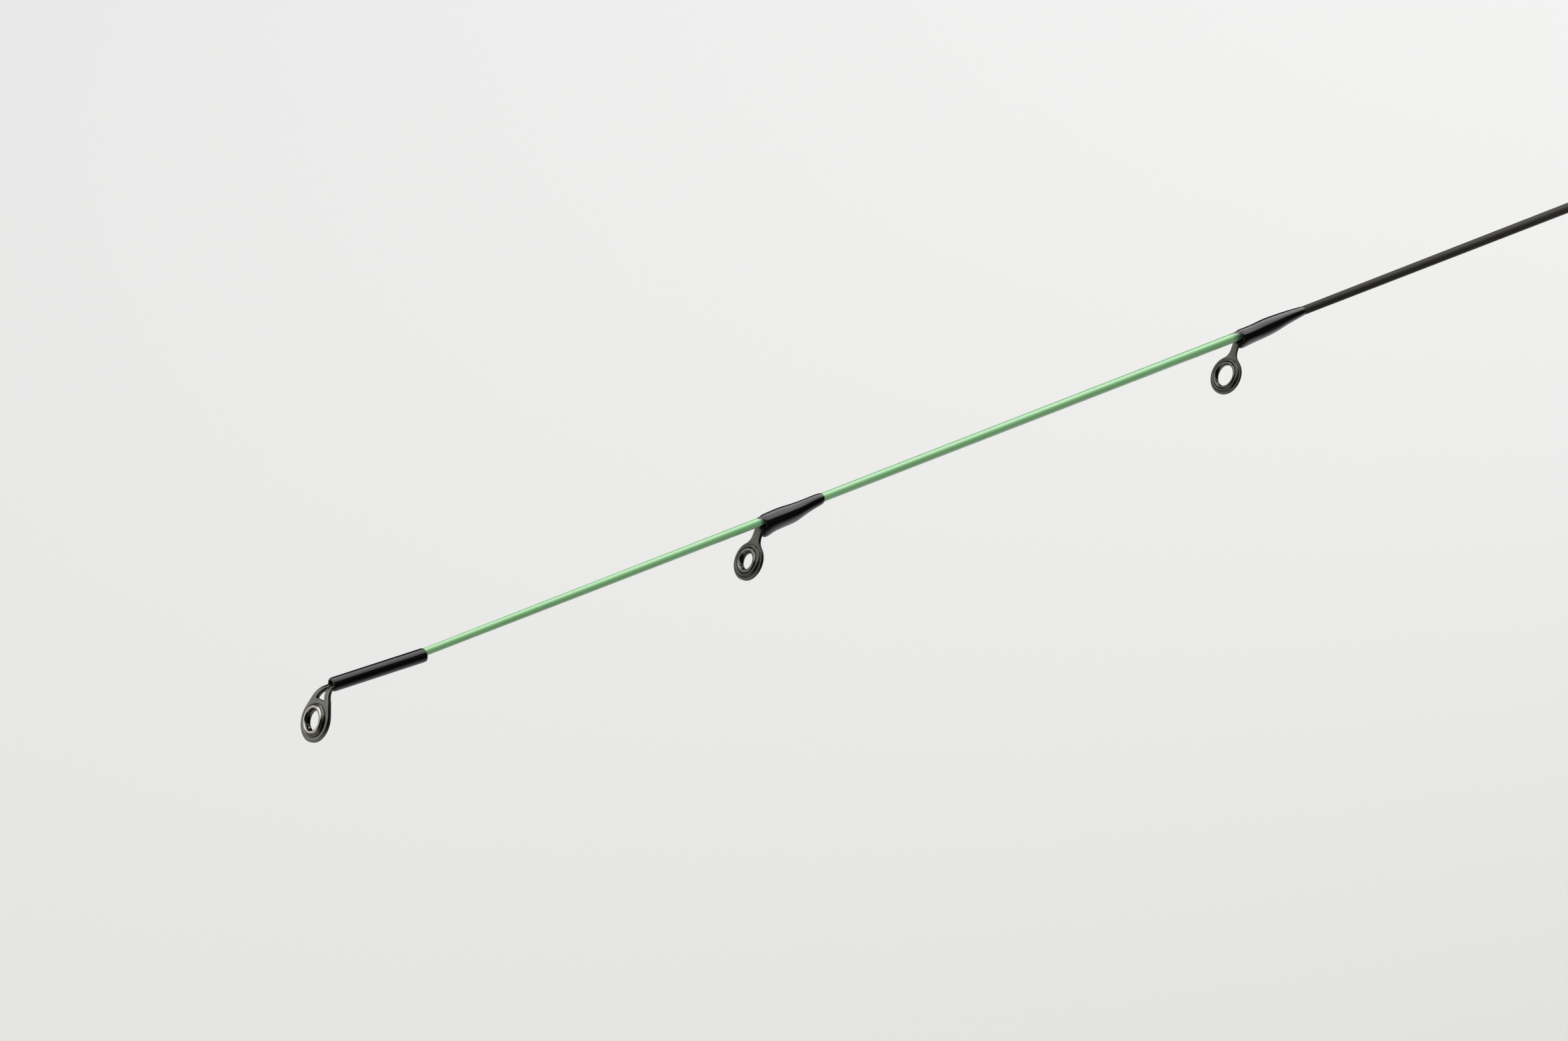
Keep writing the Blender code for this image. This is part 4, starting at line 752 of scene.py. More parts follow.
TIP_COLLAR = [
    (-TIP_FRONT, 2.47), (-TIP_FRONT - 0.12, 2.45), (-TIP_FRONT - 0.24, 2.41), (-TIP_FRONT - 0.30, 2.34),
    (-TIP_FRONT - 0.30, 2.25), (-TIP_FRONT - 0.24, 2.17), (-TIP_FRONT - 0.12, 2.14), (0.0, 2.13), (0.0, 2.47),
    (-TIP_FRONT, 2.47),
]
turn_and_finish(
    "tip_collar", TIP_COLLAR, dark_ring, "quiver_tip", "guide_frame", "tip_top_frame", origin=tip_centre,
    tilt=TIP_LEAN, sides=96,
)

# %% [markdown]
# ## Tube and sleeve
# The rails run into a thin tube that is glued over the end of the quiver tip. A gloss-black sleeve
# covers it, so only the rim of the tube shows at the mouth. Both lean up by three degrees, because the
# tube is wider than the blank and sits against its underside at the rear.

# %% Turn the tube and its sleeve
TUBE_TILT = math.radians(3.05)
TUBE_MOUTH = Vector((TIP_X + 1.40 * MM, 0, MOUTH_Z * MM))
TUBE = [
    (0.0, 0.70), (-0.02, 0.74), (0.0, 0.785), (0.05, 0.80), (15.7, 0.80), (15.75, 0.77), (15.75, 0.69),
    (0.04, 0.68), (0.0, 0.70),
]
GLUE = [(1.4, 0.675), (0.50, 0.675), (0.40, 0.60), (0.34, 0.45), (0.31, 0.25), (0.30, 0.02)]
SLEEVE = [
    (0.06, 0.81), (0.03, 0.86), (0.06, 0.92), (0.16, 0.985), (0.30, 1.02), (0.45, 1.028), (15.40, 1.028),
    (15.60, 1.018), (15.74, 0.985), (15.82, 0.92), (15.85, 0.83), (15.82, 0.79), (15.77, 0.80), (15.76, 0.81),
    (0.06, 0.81),
]
for name, profile, finish, slot, node, sides in (
    ("tip_tube", TUBE, gunmetal, "guide_frame", "tip_top_frame", 64),
    ("tip_glue", GLUE, sleeve_black, "guide_frame", "tip_top_frame", 48),
    ("tip_sleeve", SLEEVE, sleeve_black, "whipping", "tip_top_sleeve", 64),
):
    turn_and_finish(
        name, profile, finish, "quiver_tip", slot, node, origin=TUBE_MOUTH, tilt=TUBE_TILT, sides=sides
    )

# %% [markdown]
# ## The quiver tip
# The quiver is solid and tapers from little more than a millimetre. It could be one long cone, but the
# real one is ground in stretches. The lacquer ends under the second whipping, so the green part and the
# bare part are two pieces, each with its own finish, that meet where nobody sees it.

# %% Turn the quiver tip
SOCKET_X = -1945.0
JOINT_X = -1130.0
first_root, second_root = (root / MM for root in ROOTS[:2])
lacquer_end = LACQUER_END_X / MM
GREEN_PART = [(-2429.5, 0.50), (-2429.3, 0.57), (first_root, 0.685), (second_root, 0.78), (lacquer_end, 0.78)]
BARE_PART = [
    (lacquer_end - 0.1, 0.70), (lacquer_end, 0.73), (-2150.0, 0.90), (-2050.0, 1.08), (SOCKET_X - 0.4, 1.248),
    (SOCKET_X - 0.2, 1.2), (SOCKET_X - 0.15, 1.1), (SOCKET_X + 44.0, 1.1), (SOCKET_X + 44.8, 0.95),
    (SOCKET_X + 45.0, 0.75),
]
turn_and_finish(
    "quiver_green_part", GREEN_PART, lacquer, "quiver_tip", "quiver_lacquer", "quiver_blank", sides=48
)
turn_and_finish("quiver_bare_part", BARE_PART, carbon, "quiver_tip", "carbon_blank", "quiver_blank", sides=48)


# %% Outside radius of the blank at a station
def between(value, low, high, at_low, at_high):
    """A straight line from at_low to at_high, held level outside."""
    share = min(1.0, max(0.0, (value - low) / (high - low)))
    return at_low + share * (at_high - at_low)


HANDLE_X = -455.5
FLARE_X = JOINT_X - 94.3
FLARE_LENGTH = 34.0
SOCKET_RADIUS, TAPER_RADIUS, FERRULE_RADIUS, SPIGOT_RADIUS, HANDLE_RADIUS = 1.9, 3.5, 4.2, 3.3, 5.5


def blank_radius(x):
    """Radius of the blank that shows at a station, all in millimetres."""
    if x < SOCKET_X:
        stations = GREEN_PART[1:] + BARE_PART[1:5]
        for (near, low), (far, high) in zip(stations, stations[1:]):
            if x <= far:
                return between(x, near, far, low, high)
        return stations[-1][1]
    if x < FLARE_X:
        return between(x, SOCKET_X, FLARE_X, SOCKET_RADIUS, TAPER_RADIUS)
    if x < JOINT_X:
        return between(x, FLARE_X, FLARE_X + FLARE_LENGTH, TAPER_RADIUS, FERRULE_RADIUS)
    return between(x, JOINT_X, HANDLE_X, SPIGOT_RADIUS, HANDLE_RADIUS)


# %% [markdown]
# ## Guides
# Nine single-leg guides hold the line under the rod. Each has a plate that rises in a low dome round
# its ring, a neck with hollow shoulders, and a foot that is whipped to the blank. They grow towards
# the butt, so one function makes them all from a table. The crown of the plate is drawn upwards in
# rows that flatten out of the arc and narrow along the hollow shoulder, and the last rows go round
# the bend and along the foot. The dome and the ring are turned.

# %% The guides, in millimetres and degrees
GUIDES = [
    # plate, ring, hole, height, lean, sheet, foot, whipping
    (5.9, 4.1, 2.4, 6.44, 32.2, 0.50, 6.4, 11.8),
    (6.3, 4.6, 3.45, 6.90, 31.2, 0.40, 8.2, 16.0),
    (6.8, 5.1, 4.0, 7.50, 30.0, 0.42, 8.6, 16.5),
    (7.5, 5.7, 4.6, 8.20, 30.0, 0.45, 9.0, 17.0),
    (8.6, 6.7, 5.5, 9.80, 30.0, 0.50, 9.6, 18.0),
    (10.0, 7.9, 6.6, 11.8, 30.0, 0.55, 11.0, 20.0),
    (12.0, 9.7, 8.2, 14.4, 30.0, 0.60, 13.0, 22.0),
    (14.5, 12.0, 10.2, 17.6, 30.0, 0.70, 15.0, 25.0),
    (19.0, 16.2, 14.2, 23.4, 30.0, 0.85, 18.0, 29.0),
]
COLLAR, COLLAR_REACH = 0.36, 0.66
RING_PROUD = 0.45
SHOULDER_ROWS = 7
NECK_TO_SHEET, BEND_TO_SHEET, ROUND_TO_SHEET = 1.6, 2.0, 0.22
FILLET_TO_RADIUS = 0.62
FOOT_GAP = 0.03
GUIDE_SIDES = 72


def guide_collar(plate, ring, sheet):
    """Section of the low dome that the plate is pressed into round its ring."""
    front, hole, reach = sheet / 2, ring / 2, COLLAR_REACH * (plate - ring) / 2
    dome = [
        (0.0, 1.0), (0.30, 0.95), (0.62, 0.82), (0.88, 0.62), (1.0, 0.40), (0.95, 0.20), (0.75, 0.06),
        (0.5, 0.0),
    ]
    section = [(-front - COLLAR * up, hole + reach * out) for up, out in dome]
    return section + [(0.0, hole), (0.0, hole + reach), section[0]]


def stamp_guide(name, plate, ring, height, lean, sheet, foot, blank):
    """A single-leg frame, stamped flat and drawn up round its bend, in its own plane at the origin."""
    radius = plate / 2
    level = blank + FOOT_GAP + sheet / 2
    point, bend_start, bend_end = leg_path(height, lean, level, BEND_TO_SHEET * sheet)
    neck, fillet = NECK_TO_SHEET * sheet, FILLET_TO_RADIUS * radius
    edge_angle = 2 * math.pi / GUIDE_SIDES
    top = math.sqrt((radius + fillet) ** 2 - (neck + fillet) ** 2)
    crown = max(2, round(math.atan2(neck + fillet, top) / edge_angle))
    shoulder = crown * edge_angle
    cut_plate(radius, ring / 2 - 0.02, GUIDE_SIDES)
    low, half = radius * math.cos(shoulder), radius * math.sin(shoulder)
    choose_row(lambda p: abs(p.xy.length - radius) < NEAR and p.y > low - NEAR)
    rows = []
    for number in range(1, SHOULDER_ROWS + 1):
        up = low + (top - low) * number / SHOULDER_ROWS
        hollow = neck + fillet - math.sqrt(max(0.0, fillet**2 - (top - up) ** 2))
        rows.append((up, hollow, 1 - number / SHOULDER_ROWS))
    run = [bend_start + (bend_end - bend_start) * share for share in (0.0, 0.2, 0.4, 0.6, 0.8, 1.0)]
    foot_end = bend_end + foot - BEND_TO_SHEET * sheet
    run += [foot_end - 2 * neck, foot_end - neck, foot_end]
    widths = [neck] * 7 + [0.8 * neck, 0.45 * neck]
    rows += [(distance, width, 0.0) for distance, width in zip(run, widths) if distance > top + 0.05]
    up, back, bulge = low, 0.0, 1.0
    for distance, next_half, next_bulge in rows:
        next_up, next_back = point(distance)
        step = (0, (next_up - up) * MM, (next_back - back) * MM)
        bpy.ops.mesh.extrude_region_move(TRANSFORM_OT_translate={"value": step})
        flatten = next_bulge / bulge if bulge else 1.0
        bpy.ops.transform.resize(
            value=(next_half / half, flatten, 1), center_override=(0, next_up * MM, next_back * MM)
        )
        up, back, half, bulge = next_up, next_back, next_half, next_bulge
    bpy.ops.mesh.select_all(action="SELECT")
    bpy.ops.mesh.normals_make_consistent(inside=False)
    stamped = put_down(name)
    apply_modifier(stamped, "SOLIDIFY", thickness=sheet * MM, offset=0.0, use_even_offset=True)
    round_edges(stamped, ROUND_TO_SHEET * sheet, angle=SHEET_ANGLE)
    return stamped


def guide_ring(ring, hole, sheet):
    """Section of a guide's ring: a proud rounded front, a bore like an hourglass and a short back."""
    front, back = RING_PROUD + sheet / 2, 0.9 * sheet
    outer, inner = ring / 2 - 0.01, hole / 2
    depth, reach = front + back, outer - inner
    return [
        (-front * 0.55, outer), (-front * 0.80, outer - 0.04 * reach), (-front * 0.94, outer - 0.16 * reach),
        (-front, outer - 0.38 * reach), (-front * 0.97, outer - 0.58 * reach),
        (-front * 0.86, outer - 0.76 * reach), (-front + 0.28 * depth, outer - 0.91 * reach),
        (-front + 0.45 * depth, outer - 0.99 * reach), (-front + 0.58 * depth, inner),
        (-front + 0.75 * depth, inner + 0.05 * reach), (-front + 0.90 * depth, inner + 0.22 * reach),
        (back * 0.97, inner + 0.5 * reach), (back, outer - 0.25 * reach), (back * 0.85, outer - 0.03 * reach),
        (back * 0.5, outer), (-front * 0.55, outer),
    ]


# %% [markdown]
# ## Whippings over the feet
# The whipping of a guide is thick where it lies over the foot and thins to the blank behind it, so its
# section is a pear: round on top, drawn down to the foot and widest beside it. It is turned first, as a
# plain spindle. Then the lower half of each ring is pulled down by its own amount, and its flanks are
# swelled a little more at each level on the way down. At the front the epoxy has crept forward over
# the top of the blank in a thin tongue, so the top of the first ring is pushed forward.

# %% Wind a whipping
TONGUE_STEPS = (0.38, 0.52, 0.65, 0.76, 0.85, 0.92, 0.97)
LIP, LIP_TOP, LIP_LENGTH = 0.35, 0.60, 0.25
SWELL, SWELL_MOST = 0.34, 0.40
SWELL_LEVELS = (0.70, 0.52, 0.34, 0.16, -0.02, -0.25, -0.55)
BORE_INSET = 0.03
BELOW = -1e-6


def wind(name, root, outline, bore, finish, body, nodes, tongue=0.0):
    """A whipping from (station, radius on top, depth below) rows in millimetres, over a bore."""
    start, end = outline[0][0], outline[-1][0]
    profile = [(root + x, top) for x, top, depth in outline]
    profile += [(root + end - BORE_INSET, bore), (root + start + BORE_INSET, bore), profile[0]]
    wrap = turned(name, profile, sides=40)
    for x, top, depth in outline:
        here = (root + x) * MM
        if depth / top < 1.01:
            continue

        def lower(p, level):
            return abs(p.x - here) < NEAR * MM and p.z < level and p.yz.length > (bore + NEAR) * MM

        choose(wrap, lambda p: lower(p, BELOW))
        bpy.ops.transform.resize(value=(1, 1, depth / top), center_override=(here, 0, 0))
        swell = 1 + min(SWELL_MOST, SWELL * (depth / top - 1)) / len(SWELL_LEVELS)
        for share in SWELL_LEVELS:
            choose(wrap, lambda p: lower(p, share * top * MM))
            bpy.ops.transform.resize(value=(1, swell, 1), center_override=(here, 0, 0))
    if tongue:
        here = (root + start) * MM
        for height in TONGUE_STEPS:
            choose(wrap, lambda p: p.x < here + NEAR * MM and p.z > height * outline[0][1] * MM)
            bpy.ops.transform.translate(value=(-tongue / len(TONGUE_STEPS) * MM, 0, 0))
        choose(wrap, lambda p: p.x < here + LIP_LENGTH * MM and p.z < -LIP_TOP * outline[0][2] * MM)
        bpy.ops.transform.translate(value=(-LIP * MM, 0, 0))
    clear_desk()
    apply_modifier(wrap, "SUBSURF", levels=1, render_levels=1)
    return finish_piece(wrap, finish, body, "whipping", *nodes)


FRONT_ROWS = [(-0.03, 0.03, 0.30), (0.0, 0.08, 0.60), (0.12, 0.24, 0.80)]
WRAP_ROWS, LAST_ROW = 11, 11.6
BUILD, BELLY, BELLY_END = 0.26, 0.09, 0.55
KEEL_FRONT, KEEL_REAR = 0.95, 0.55
FOOT_THINS, FOOT_GONE = 0.85, 1.55


def wrap_outline(length, foot, depth, front, rear):
    """The rows of a whipping that nobody has measured: full over the foot and thin behind it."""
    rows = [(x, front + build, depth + drop) for x, build, drop in FRONT_ROWS]
    for number in range(1, WRAP_ROWS + 1):
        share = number / LAST_ROW
        x = length * share
        belly = BELLY * math.sin(math.pi * min(1.0, share / BELLY_END))
        top = between(x, foot, length, front, rear) + BUILD + belly
        keel = between(share, 0, BELLY_END, KEEL_FRONT, KEEL_REAR)
        past = between(x, FOOT_THINS * foot, FOOT_GONE * foot, 0.0, 1.0)
        past = past * past * (3 - 2 * past)
        rows.append((x, top, max(top, depth + keel + (top - depth - keel) * past)))
    rows += [(length - 0.18, rear + 0.15, rear + 0.15), (length, rear + 0.02, rear + 0.02)]
    return rows


# the two whippings in the portrait: station from the root, radius on top, depth below
FIRST_WRAP = [
    (-0.03, 0.715, 1.6), (0.0, 0.75, 2.25), (0.10, 0.86, 2.68), (0.45, 0.93, 2.66), (1.2, 0.95, 2.42),
    (1.9, 0.98, 2.28), (2.9, 1.02, 2.20), (3.9, 1.00, 2.18), (4.8, 0.95, 2.17), (5.7, 0.89, 2.15),
    (6.2, 0.87, 2.06), (6.8, 0.85, 1.90), (7.8, 0.83, 1.66), (8.7, 0.83, 1.44), (9.7, 0.85, 1.24),
    (10.6, 0.87, 1.12), (11.2, 0.84, 1.02), (11.6, 0.79, 0.90), (11.78, 0.71, 0.74),
]
SECOND_WRAP = [
    (-0.03, 0.81, 1.5), (0.0, 0.85, 1.95), (0.12, 0.95, 2.22), (0.5, 0.99, 2.26), (1.9, 0.96, 2.12),
    (3.6, 1.00, 2.03), (5.0, 1.12, 1.98), (5.9, 1.16, 1.92), (7.0, 1.17, 1.83), (8.2, 1.15, 1.70),
    (9.4, 1.11, 1.50), (10.5, 1.07, 1.29), (11.6, 1.01, 1.14), (12.6, 0.95, 1.02), (13.5, 0.89, 0.92),
    (14.2, 0.835, 0.845), (14.7, 0.79, 0.79), (14.9, 0.755, 0.755),
]

# %% Make the nine guides
SECTIONS = ["quiver_tip"] * 4 + ["tip_section"] * 4 + ["butt_section"]
MEASURED_WRAPS = {1: FIRST_WRAP, 2: SECOND_WRAP}
EPOXY = 0.08
TONGUE = 1.3

for number, (guide, root, body) in enumerate(zip(GUIDES, ROOTS, SECTIONS), start=1):
    plate, ring, hole, height, lean_degrees, sheet, foot, length = guide
    lean = math.radians(lean_degrees)
    station = root / MM
    front = max(blank_radius(station), blank_radius(station + foot))
    rear = blank_radius(station + length)
    stamped = stamp_guide(f"guide_{number}_leg", plate, ring, height, lean, sheet, foot, front)
    centre = ring_centre(root, height, lean)
    lean_over(stamped, centre, lean)
    finish_piece(stamped, guide_metal, body, "guide_frame", f"guide_{number}_frame")
    how = {"origin": centre, "tilt": lean, "sides": 80}
    turn_and_finish(
        f"guide_{number}_collar", guide_collar(plate, ring, sheet), guide_metal, body, "guide_frame",
        f"guide_{number}_frame", **how,
    )
    turn_and_finish(
        f"guide_{number}_liner", guide_ring(ring, hole, sheet), dark_ring, body, "guide_ring",
        f"guide_{number}_ring", **how,
    )
    depth = front + FOOT_GAP + sheet + EPOXY
    outline = MEASURED_WRAPS.get(number) or wrap_outline(length, foot, depth, front, rear)
    bore = min(front, rear) - 0.02 if number > 2 else rear - 0.01
    wind(
        f"guide_{number}_whipping", station, outline, bore, whipping, body, [f"guide_{number}_wrap"],
        tongue=TONGUE,
    )
print("guides made:", len(GUIDES))

# %% [markdown]
# ## The two blanks and their bands
# The front section is a hollow taper that flares over the spigot of the butt section. Plain whippings
# bind its two open ends, and one more sits behind the spigot. A band is a low barrel, rounded at both
# ends.

# %% Turn the blanks
TIP_BLANK = [
    (SOCKET_X, 1.25), (SOCKET_X, 1.84), (SOCKET_X + 0.08, SOCKET_RADIUS), (FLARE_X, TAPER_RADIUS),
    (FLARE_X + 8, 3.60), (FLARE_X + 20, 4.0), (FLARE_X + 28, 4.16), (FLARE_X + FLARE_LENGTH, FERRULE_RADIUS),
    (JOINT_X - 0.1, FERRULE_RADIUS), (JOINT_X, 4.12), (JOINT_X, 3.5), (JOINT_X - 0.1, 3.4),
    (JOINT_X - 60.0, 3.4), (JOINT_X - 60.3, 2.9), (SOCKET_X + 46, 1.2), (SOCKET_X, 1.25),
]
BUTT_BLANK = [
    (JOINT_X - 59.7, 2.3), (JOINT_X - 59.7, 3.0), (JOINT_X - 59.5, 3.15), (JOINT_X - 59.0, 3.2),
    (JOINT_X, SPIGOT_RADIUS), (HANDLE_X, HANDLE_RADIUS), (-8.3, HANDLE_RADIUS), (-8.3, 4.5), (HANDLE_X, 4.5),
    (JOINT_X - 59.7, 2.3),
]
turn_and_finish("tip_section_tube", TIP_BLANK, carbon, "tip_section", "carbon_blank", "tip_section_blank")
turn_and_finish("butt_section_tube", BUTT_BLANK, carbon, "butt_section", "carbon_blank", "butt_blank")


# %% Wind the plain bands
BARREL_ROWS = [(0, 0.04), (0.01, 0.14), (0.03, 0.24), (0.06, 0.30), (0.5, 0.33)]
BARREL_ROWS += [(0.94, 0.30), (0.97, 0.24), (0.99, 0.14), (1, 0.04)]


def plain_band(name, start, length, body, node):
    """A round whipping on a bare stretch of blank, low at both ends."""
    rows = []
    for share, build in BARREL_ROWS:
        radius = blank_radius(start + length * share) + build
        rows.append((length * share, radius, radius))
    bore = min(blank_radius(start), blank_radius(start + length)) - 0.03
    return wind(name, start, rows, bore, whipping, body, [node])


plain_band("socket_band", SOCKET_X + 1, 24.0, "tip_section", "socket_whipping")
plain_band("ferrule_band", JOINT_X - 30, 29.0, "tip_section", "ferrule_whipping")
plain_band("spigot_band", JOINT_X + 1, 20.0, "butt_section", "spigot_whipping")

# %% [markdown]
# ## Grips, checks and the butt cap
# The cork is sanded to a gentle waist for the hand and ends against turned metal checks. The profiles
# are drawn with enough points to curve smoothly, and a small bevel softens the ends.

# %% Turn the grips
CAP_X = -28.3
BORE = 5.58
CORK_ROWS = 28


def cork_profile(front, rear, outline):
    """A grip's wall: a smooth run through (share from the front, radius) points, over its bore."""
    points = []
    for number in range(CORK_ROWS + 1):
        share = number / CORK_ROWS
        for (near, low), (far, high) in zip(outline, outline[1:]):
            if near <= share <= far:
                ease = (share - near) / (far - near)
                ease = ease * ease * (3 - 2 * ease)
                points.append((front + (rear - front) * share, low + (high - low) * ease))
                break
    return points + [(rear, BORE), (front, BORE), points[0]]


rear_outline = [(0, 10.5), (0.1, 11.9), (0.3, 10.5), (0.7, 10.5), (0.95, 12.0), (1, 11.6)]
rear_cork = turned("rear_cork", cork_profile(-252.3, CAP_X, rear_outline), sides=96)
round_edges(rear_cork, 0.5)
finish_piece(rear_cork, cork, "butt_section", "cork", "rear_grip")
fore_outline = [(0, 7.75), (0.28, 9.6), (0.62, 11.5), (0.93, 12.0), (1, 11.1)]
fore_cork = turned("fore_cork", cork_profile(-451.2, -373.2, fore_outline), sides=96)
round_edges(fore_cork, 0.4)
finish_piece(fore_cork, cork, "butt_section", "cork", "fore_grip")

# %% Turn the metal checks and the rubber cap
REAR_CHECK = [
    (-256.6, 9.9), (-256.3, 10.15), (-255.8, 10.4), (-254.8, 10.78), (-253.6, 10.9), (-252.9, 10.75),
    (-252.6, 10.5), (-252.6, BORE), (-256.6, BORE), (-256.6, 9.9),
]
FORE_CHECK = [
    (HANDLE_X, 6.0), (-455.3, 6.3), (-454.6, 6.75), (-453.6, 7.35), (-452.9, 7.68), (-452.3, 7.75),
    (-451.6, 7.7), (-451.5, 7.6), (-451.5, BORE), (HANDLE_X, BORE), (HANDLE_X, 6.0),
]
for name, profile in (("rear", REAR_CHECK), ("fore", FORE_CHECK)):
    turn_and_finish(
        f"{name}_metal_check", profile, trim_aluminium, "butt_section", "trim", f"{name}_check", sides=96
    )
CAP_RADIUS, CAP_CORNER, CORNER_STEPS = 13.5, 3.5, 8
GROOVES = (-20.0, -17.0, -14.0)
GROOVE = [(-0.9, 0.0), (-0.5, -0.3), (0.0, -0.45), (0.5, -0.3), (0.9, 0.0)]
cap_rows = [(-28.0, BORE), (-28.0, 12.1), (-27.7, 12.6), (-26.9, 13.1), (-25.6, 13.4), (-24.5, CAP_RADIUS)]
for middle in GROOVES:
    cap_rows += [(middle + off, CAP_RADIUS + dip) for off, dip in GROOVE]
for step in range(CORNER_STEPS + 1):
    angle = math.pi / 2 * step / CORNER_STEPS
    corner_x = -CAP_CORNER * (1 - math.sin(angle))
    cap_rows.append((corner_x, CAP_RADIUS - CAP_CORNER * (1 - math.cos(angle))))
cap_rows += [(0.0, 6.0), (-0.4, 5.6), (-0.4, 0.02), (-8.0, 0.02), (-8.0, BORE), (-28.0, BORE)]
turn_and_finish("butt_rubber", cap_rows, black_rubber, "butt_section", "rubber", "butt_cap", sides=96)

# %% [markdown]
# ## The reel seat
# A reel's foot lies on the flat bed of the seat, its ends in two hoods. The rear hood is fixed. The
# ribbed nut turns on the thread and pushes the front one. A thread is a helix, which neither a turned
# ring nor a spun one gives, so the barrel is turned with fine rings and then each of its points is
# set in or out by its place along the helix.

# %% Turn the barrel of the seat, cut its thread and flatten its bed
SEAT_FRONT, SEAT_REAR = -372.9, -256.9
THREAD_START, THREAD_END = -371.4, -342.0
THREAD_PITCH = 3.0
BARREL, ROOT_OF_THREAD, SEAT_BORE = 9.5, 8.8, 7.2
BED_FRONT, BED_REAR, BED = -337.2, -263.5, 8.2
ROWS_PER_TURN = 12
CHAMFER = 0.3
THREAD_FADE = 2.0
# shares of a turn of the thread where its two flanks start and end
RISING, FALLING = (0.30, 0.50), (0.80, 1.0)

stations = [SEAT_FRONT, SEAT_FRONT + CHAMFER]
count = round((THREAD_END - THREAD_START) / THREAD_PITCH * ROWS_PER_TURN)
stations += [THREAD_START + (THREAD_END - THREAD_START) * i / count for i in range(count + 1)]
stations += [BED_FRONT - CHAMFER, BED_FRONT, BED_REAR, BED_REAR + CHAMFER, SEAT_REAR - CHAMFER, SEAT_REAR]
profile = [(x, BARREL) for x in stations]
profile[0], profile[-1] = (SEAT_FRONT, BARREL - CHAMFER), (SEAT_REAR, BARREL - CHAMFER)
profile += [(SEAT_REAR, SEAT_BORE), (SEAT_FRONT, SEAT_BORE), profile[0]]
seat = turned("seat_barrel", profile, sides=96)
for v in seat.data.vertices:
    x, reach = v.co.x / MM, v.co.yz.length / MM
    if reach < SEAT_BORE + 0.5:
        continue
    if THREAD_START < x < THREAD_END:
        angle = math.atan2(v.co.y, -v.co.z) % (2 * math.pi)
        turn_share = ((x - SEAT_FRONT) / THREAD_PITCH - angle / (2 * math.pi)) % 1.0
        rise = between(turn_share, *RISING, 0.0, 1.0) - between(turn_share, *FALLING, 0.0, 1.0)
        fade = min(1.0, (x - THREAD_START) / THREAD_FADE, (THREAD_END - x) / THREAD_FADE)
        radius = BARREL - (BARREL - ROOT_OF_THREAD) * (1 - rise) * fade
        v.co.yz = v.co.yz.normalized() * radius * MM
    if BED_FRONT - NEAR <= x <= BED_REAR + NEAR:
        v.co.z = max(v.co.z, -BED * MM)
round_edges(seat, 0.12, segments=2, angle=30)
finish_piece(seat, seat_plastic, "butt_section", "seat", "reel_seat_body", smooth=math.radians(30))


# %% Shape the two hoods
HOOD_WALL = 1.3


def shape_hood(name, gap, mouth, towards, body, node):
    """A hood open at the mouth, its lower half drawn down into a pocket for the end of the foot."""
    inner = BARREL + gap
    outer = inner + HOOD_WALL
    wall = [(0.0, outer - 0.35), (0.12, outer - 0.1), (0.45, outer), (8.0, outer), (13.0, outer)]
    wall += [(16.5, outer), (18.6, outer), (20.0, outer), (20.7, outer - 0.15), (21.0, outer - 0.5)]
    hollow = [(21.0, inner), (16.3, inner), (15.0, inner), (8.0, inner), (0.3, inner), (0.0, inner + 0.3)]
    profile = [(mouth + towards * x, radius) for x, radius in wall + hollow]
    hood = turned(name, profile + [profile[0]], sides=96)
    depths = {0.0: 14.15, 0.12: 14.4, 0.45: 14.5, 8.0: 14.5, 13.0: 14.3, 16.5: 13.2, 18.6: 11.9, 20.0: 11.05}
    floors = {15.0: 13.2, 8.0: 13.2, 0.3: 13.2, 0.0: 13.5}
    middle_wall = inner + HOOD_WALL / 2
    for table, is_outer in ((depths, True), (floors, False)):
        for x, depth in table.items():
            here = (mouth + towards * x) * MM
            radius = dict(wall if is_outer else hollow)[x]

            def lower(p):
                beyond = p.yz.length > middle_wall * MM if is_outer else p.yz.length < middle_wall * MM
                return abs(p.x - here) < NEAR * MM and p.z < BELOW and beyond

            choose(hood, lower)
            bpy.ops.transform.resize(value=(1, 1, depth / radius), center_override=(here, 0, 0))
    clear_desk()
    return finish_piece(hood, hood_steel, body, "hood", node)


shape_hood("rear_hood_shell", 0.08, -278.2, 1, "butt_section", "fixed_hood")
shape_hood("front_hood_shell", 0.20, -322.2, -1, "hood_slider", "sliding_hood")

# %% Turn the nut and press its ribs
NUT_FRONT, NUT_REAR, NUT_RADIUS = -355.5, -343.5, 12.25
NUT = [
    (NUT_FRONT, 10.3), (NUT_FRONT + 0.25, 10.9), (NUT_FRONT + 1.2, 12.0), (NUT_FRONT + 1.6, NUT_RADIUS),
    (NUT_REAR - 1.6, NUT_RADIUS), (NUT_REAR - 1.2, 12.0), (NUT_REAR - 0.25, 10.9), (NUT_REAR, 10.3),
    (NUT_REAR, 9.95), (NUT_REAR - 0.3, 9.72), (NUT_FRONT + 0.3, 9.72), (NUT_FRONT, 9.95), (NUT_FRONT, 10.3),
]
RIBS = 24
GROOVE_START, GROOVE_END, GROOVE_SHRINK = 0.3, 0.7, 0.955
GRIPPED = 11.8
nut = turned("ribbed_nut", NUT, sides=RIBS * 8)


def in_a_groove(p):
    """Whether a point on the outside of the nut lies in the groove between two ribs."""
    share = (math.atan2(p.y, p.z) / (2 * math.pi) * RIBS) % 1.0
    return p.yz.length > GRIPPED * MM and GROOVE_START < share < GROOVE_END


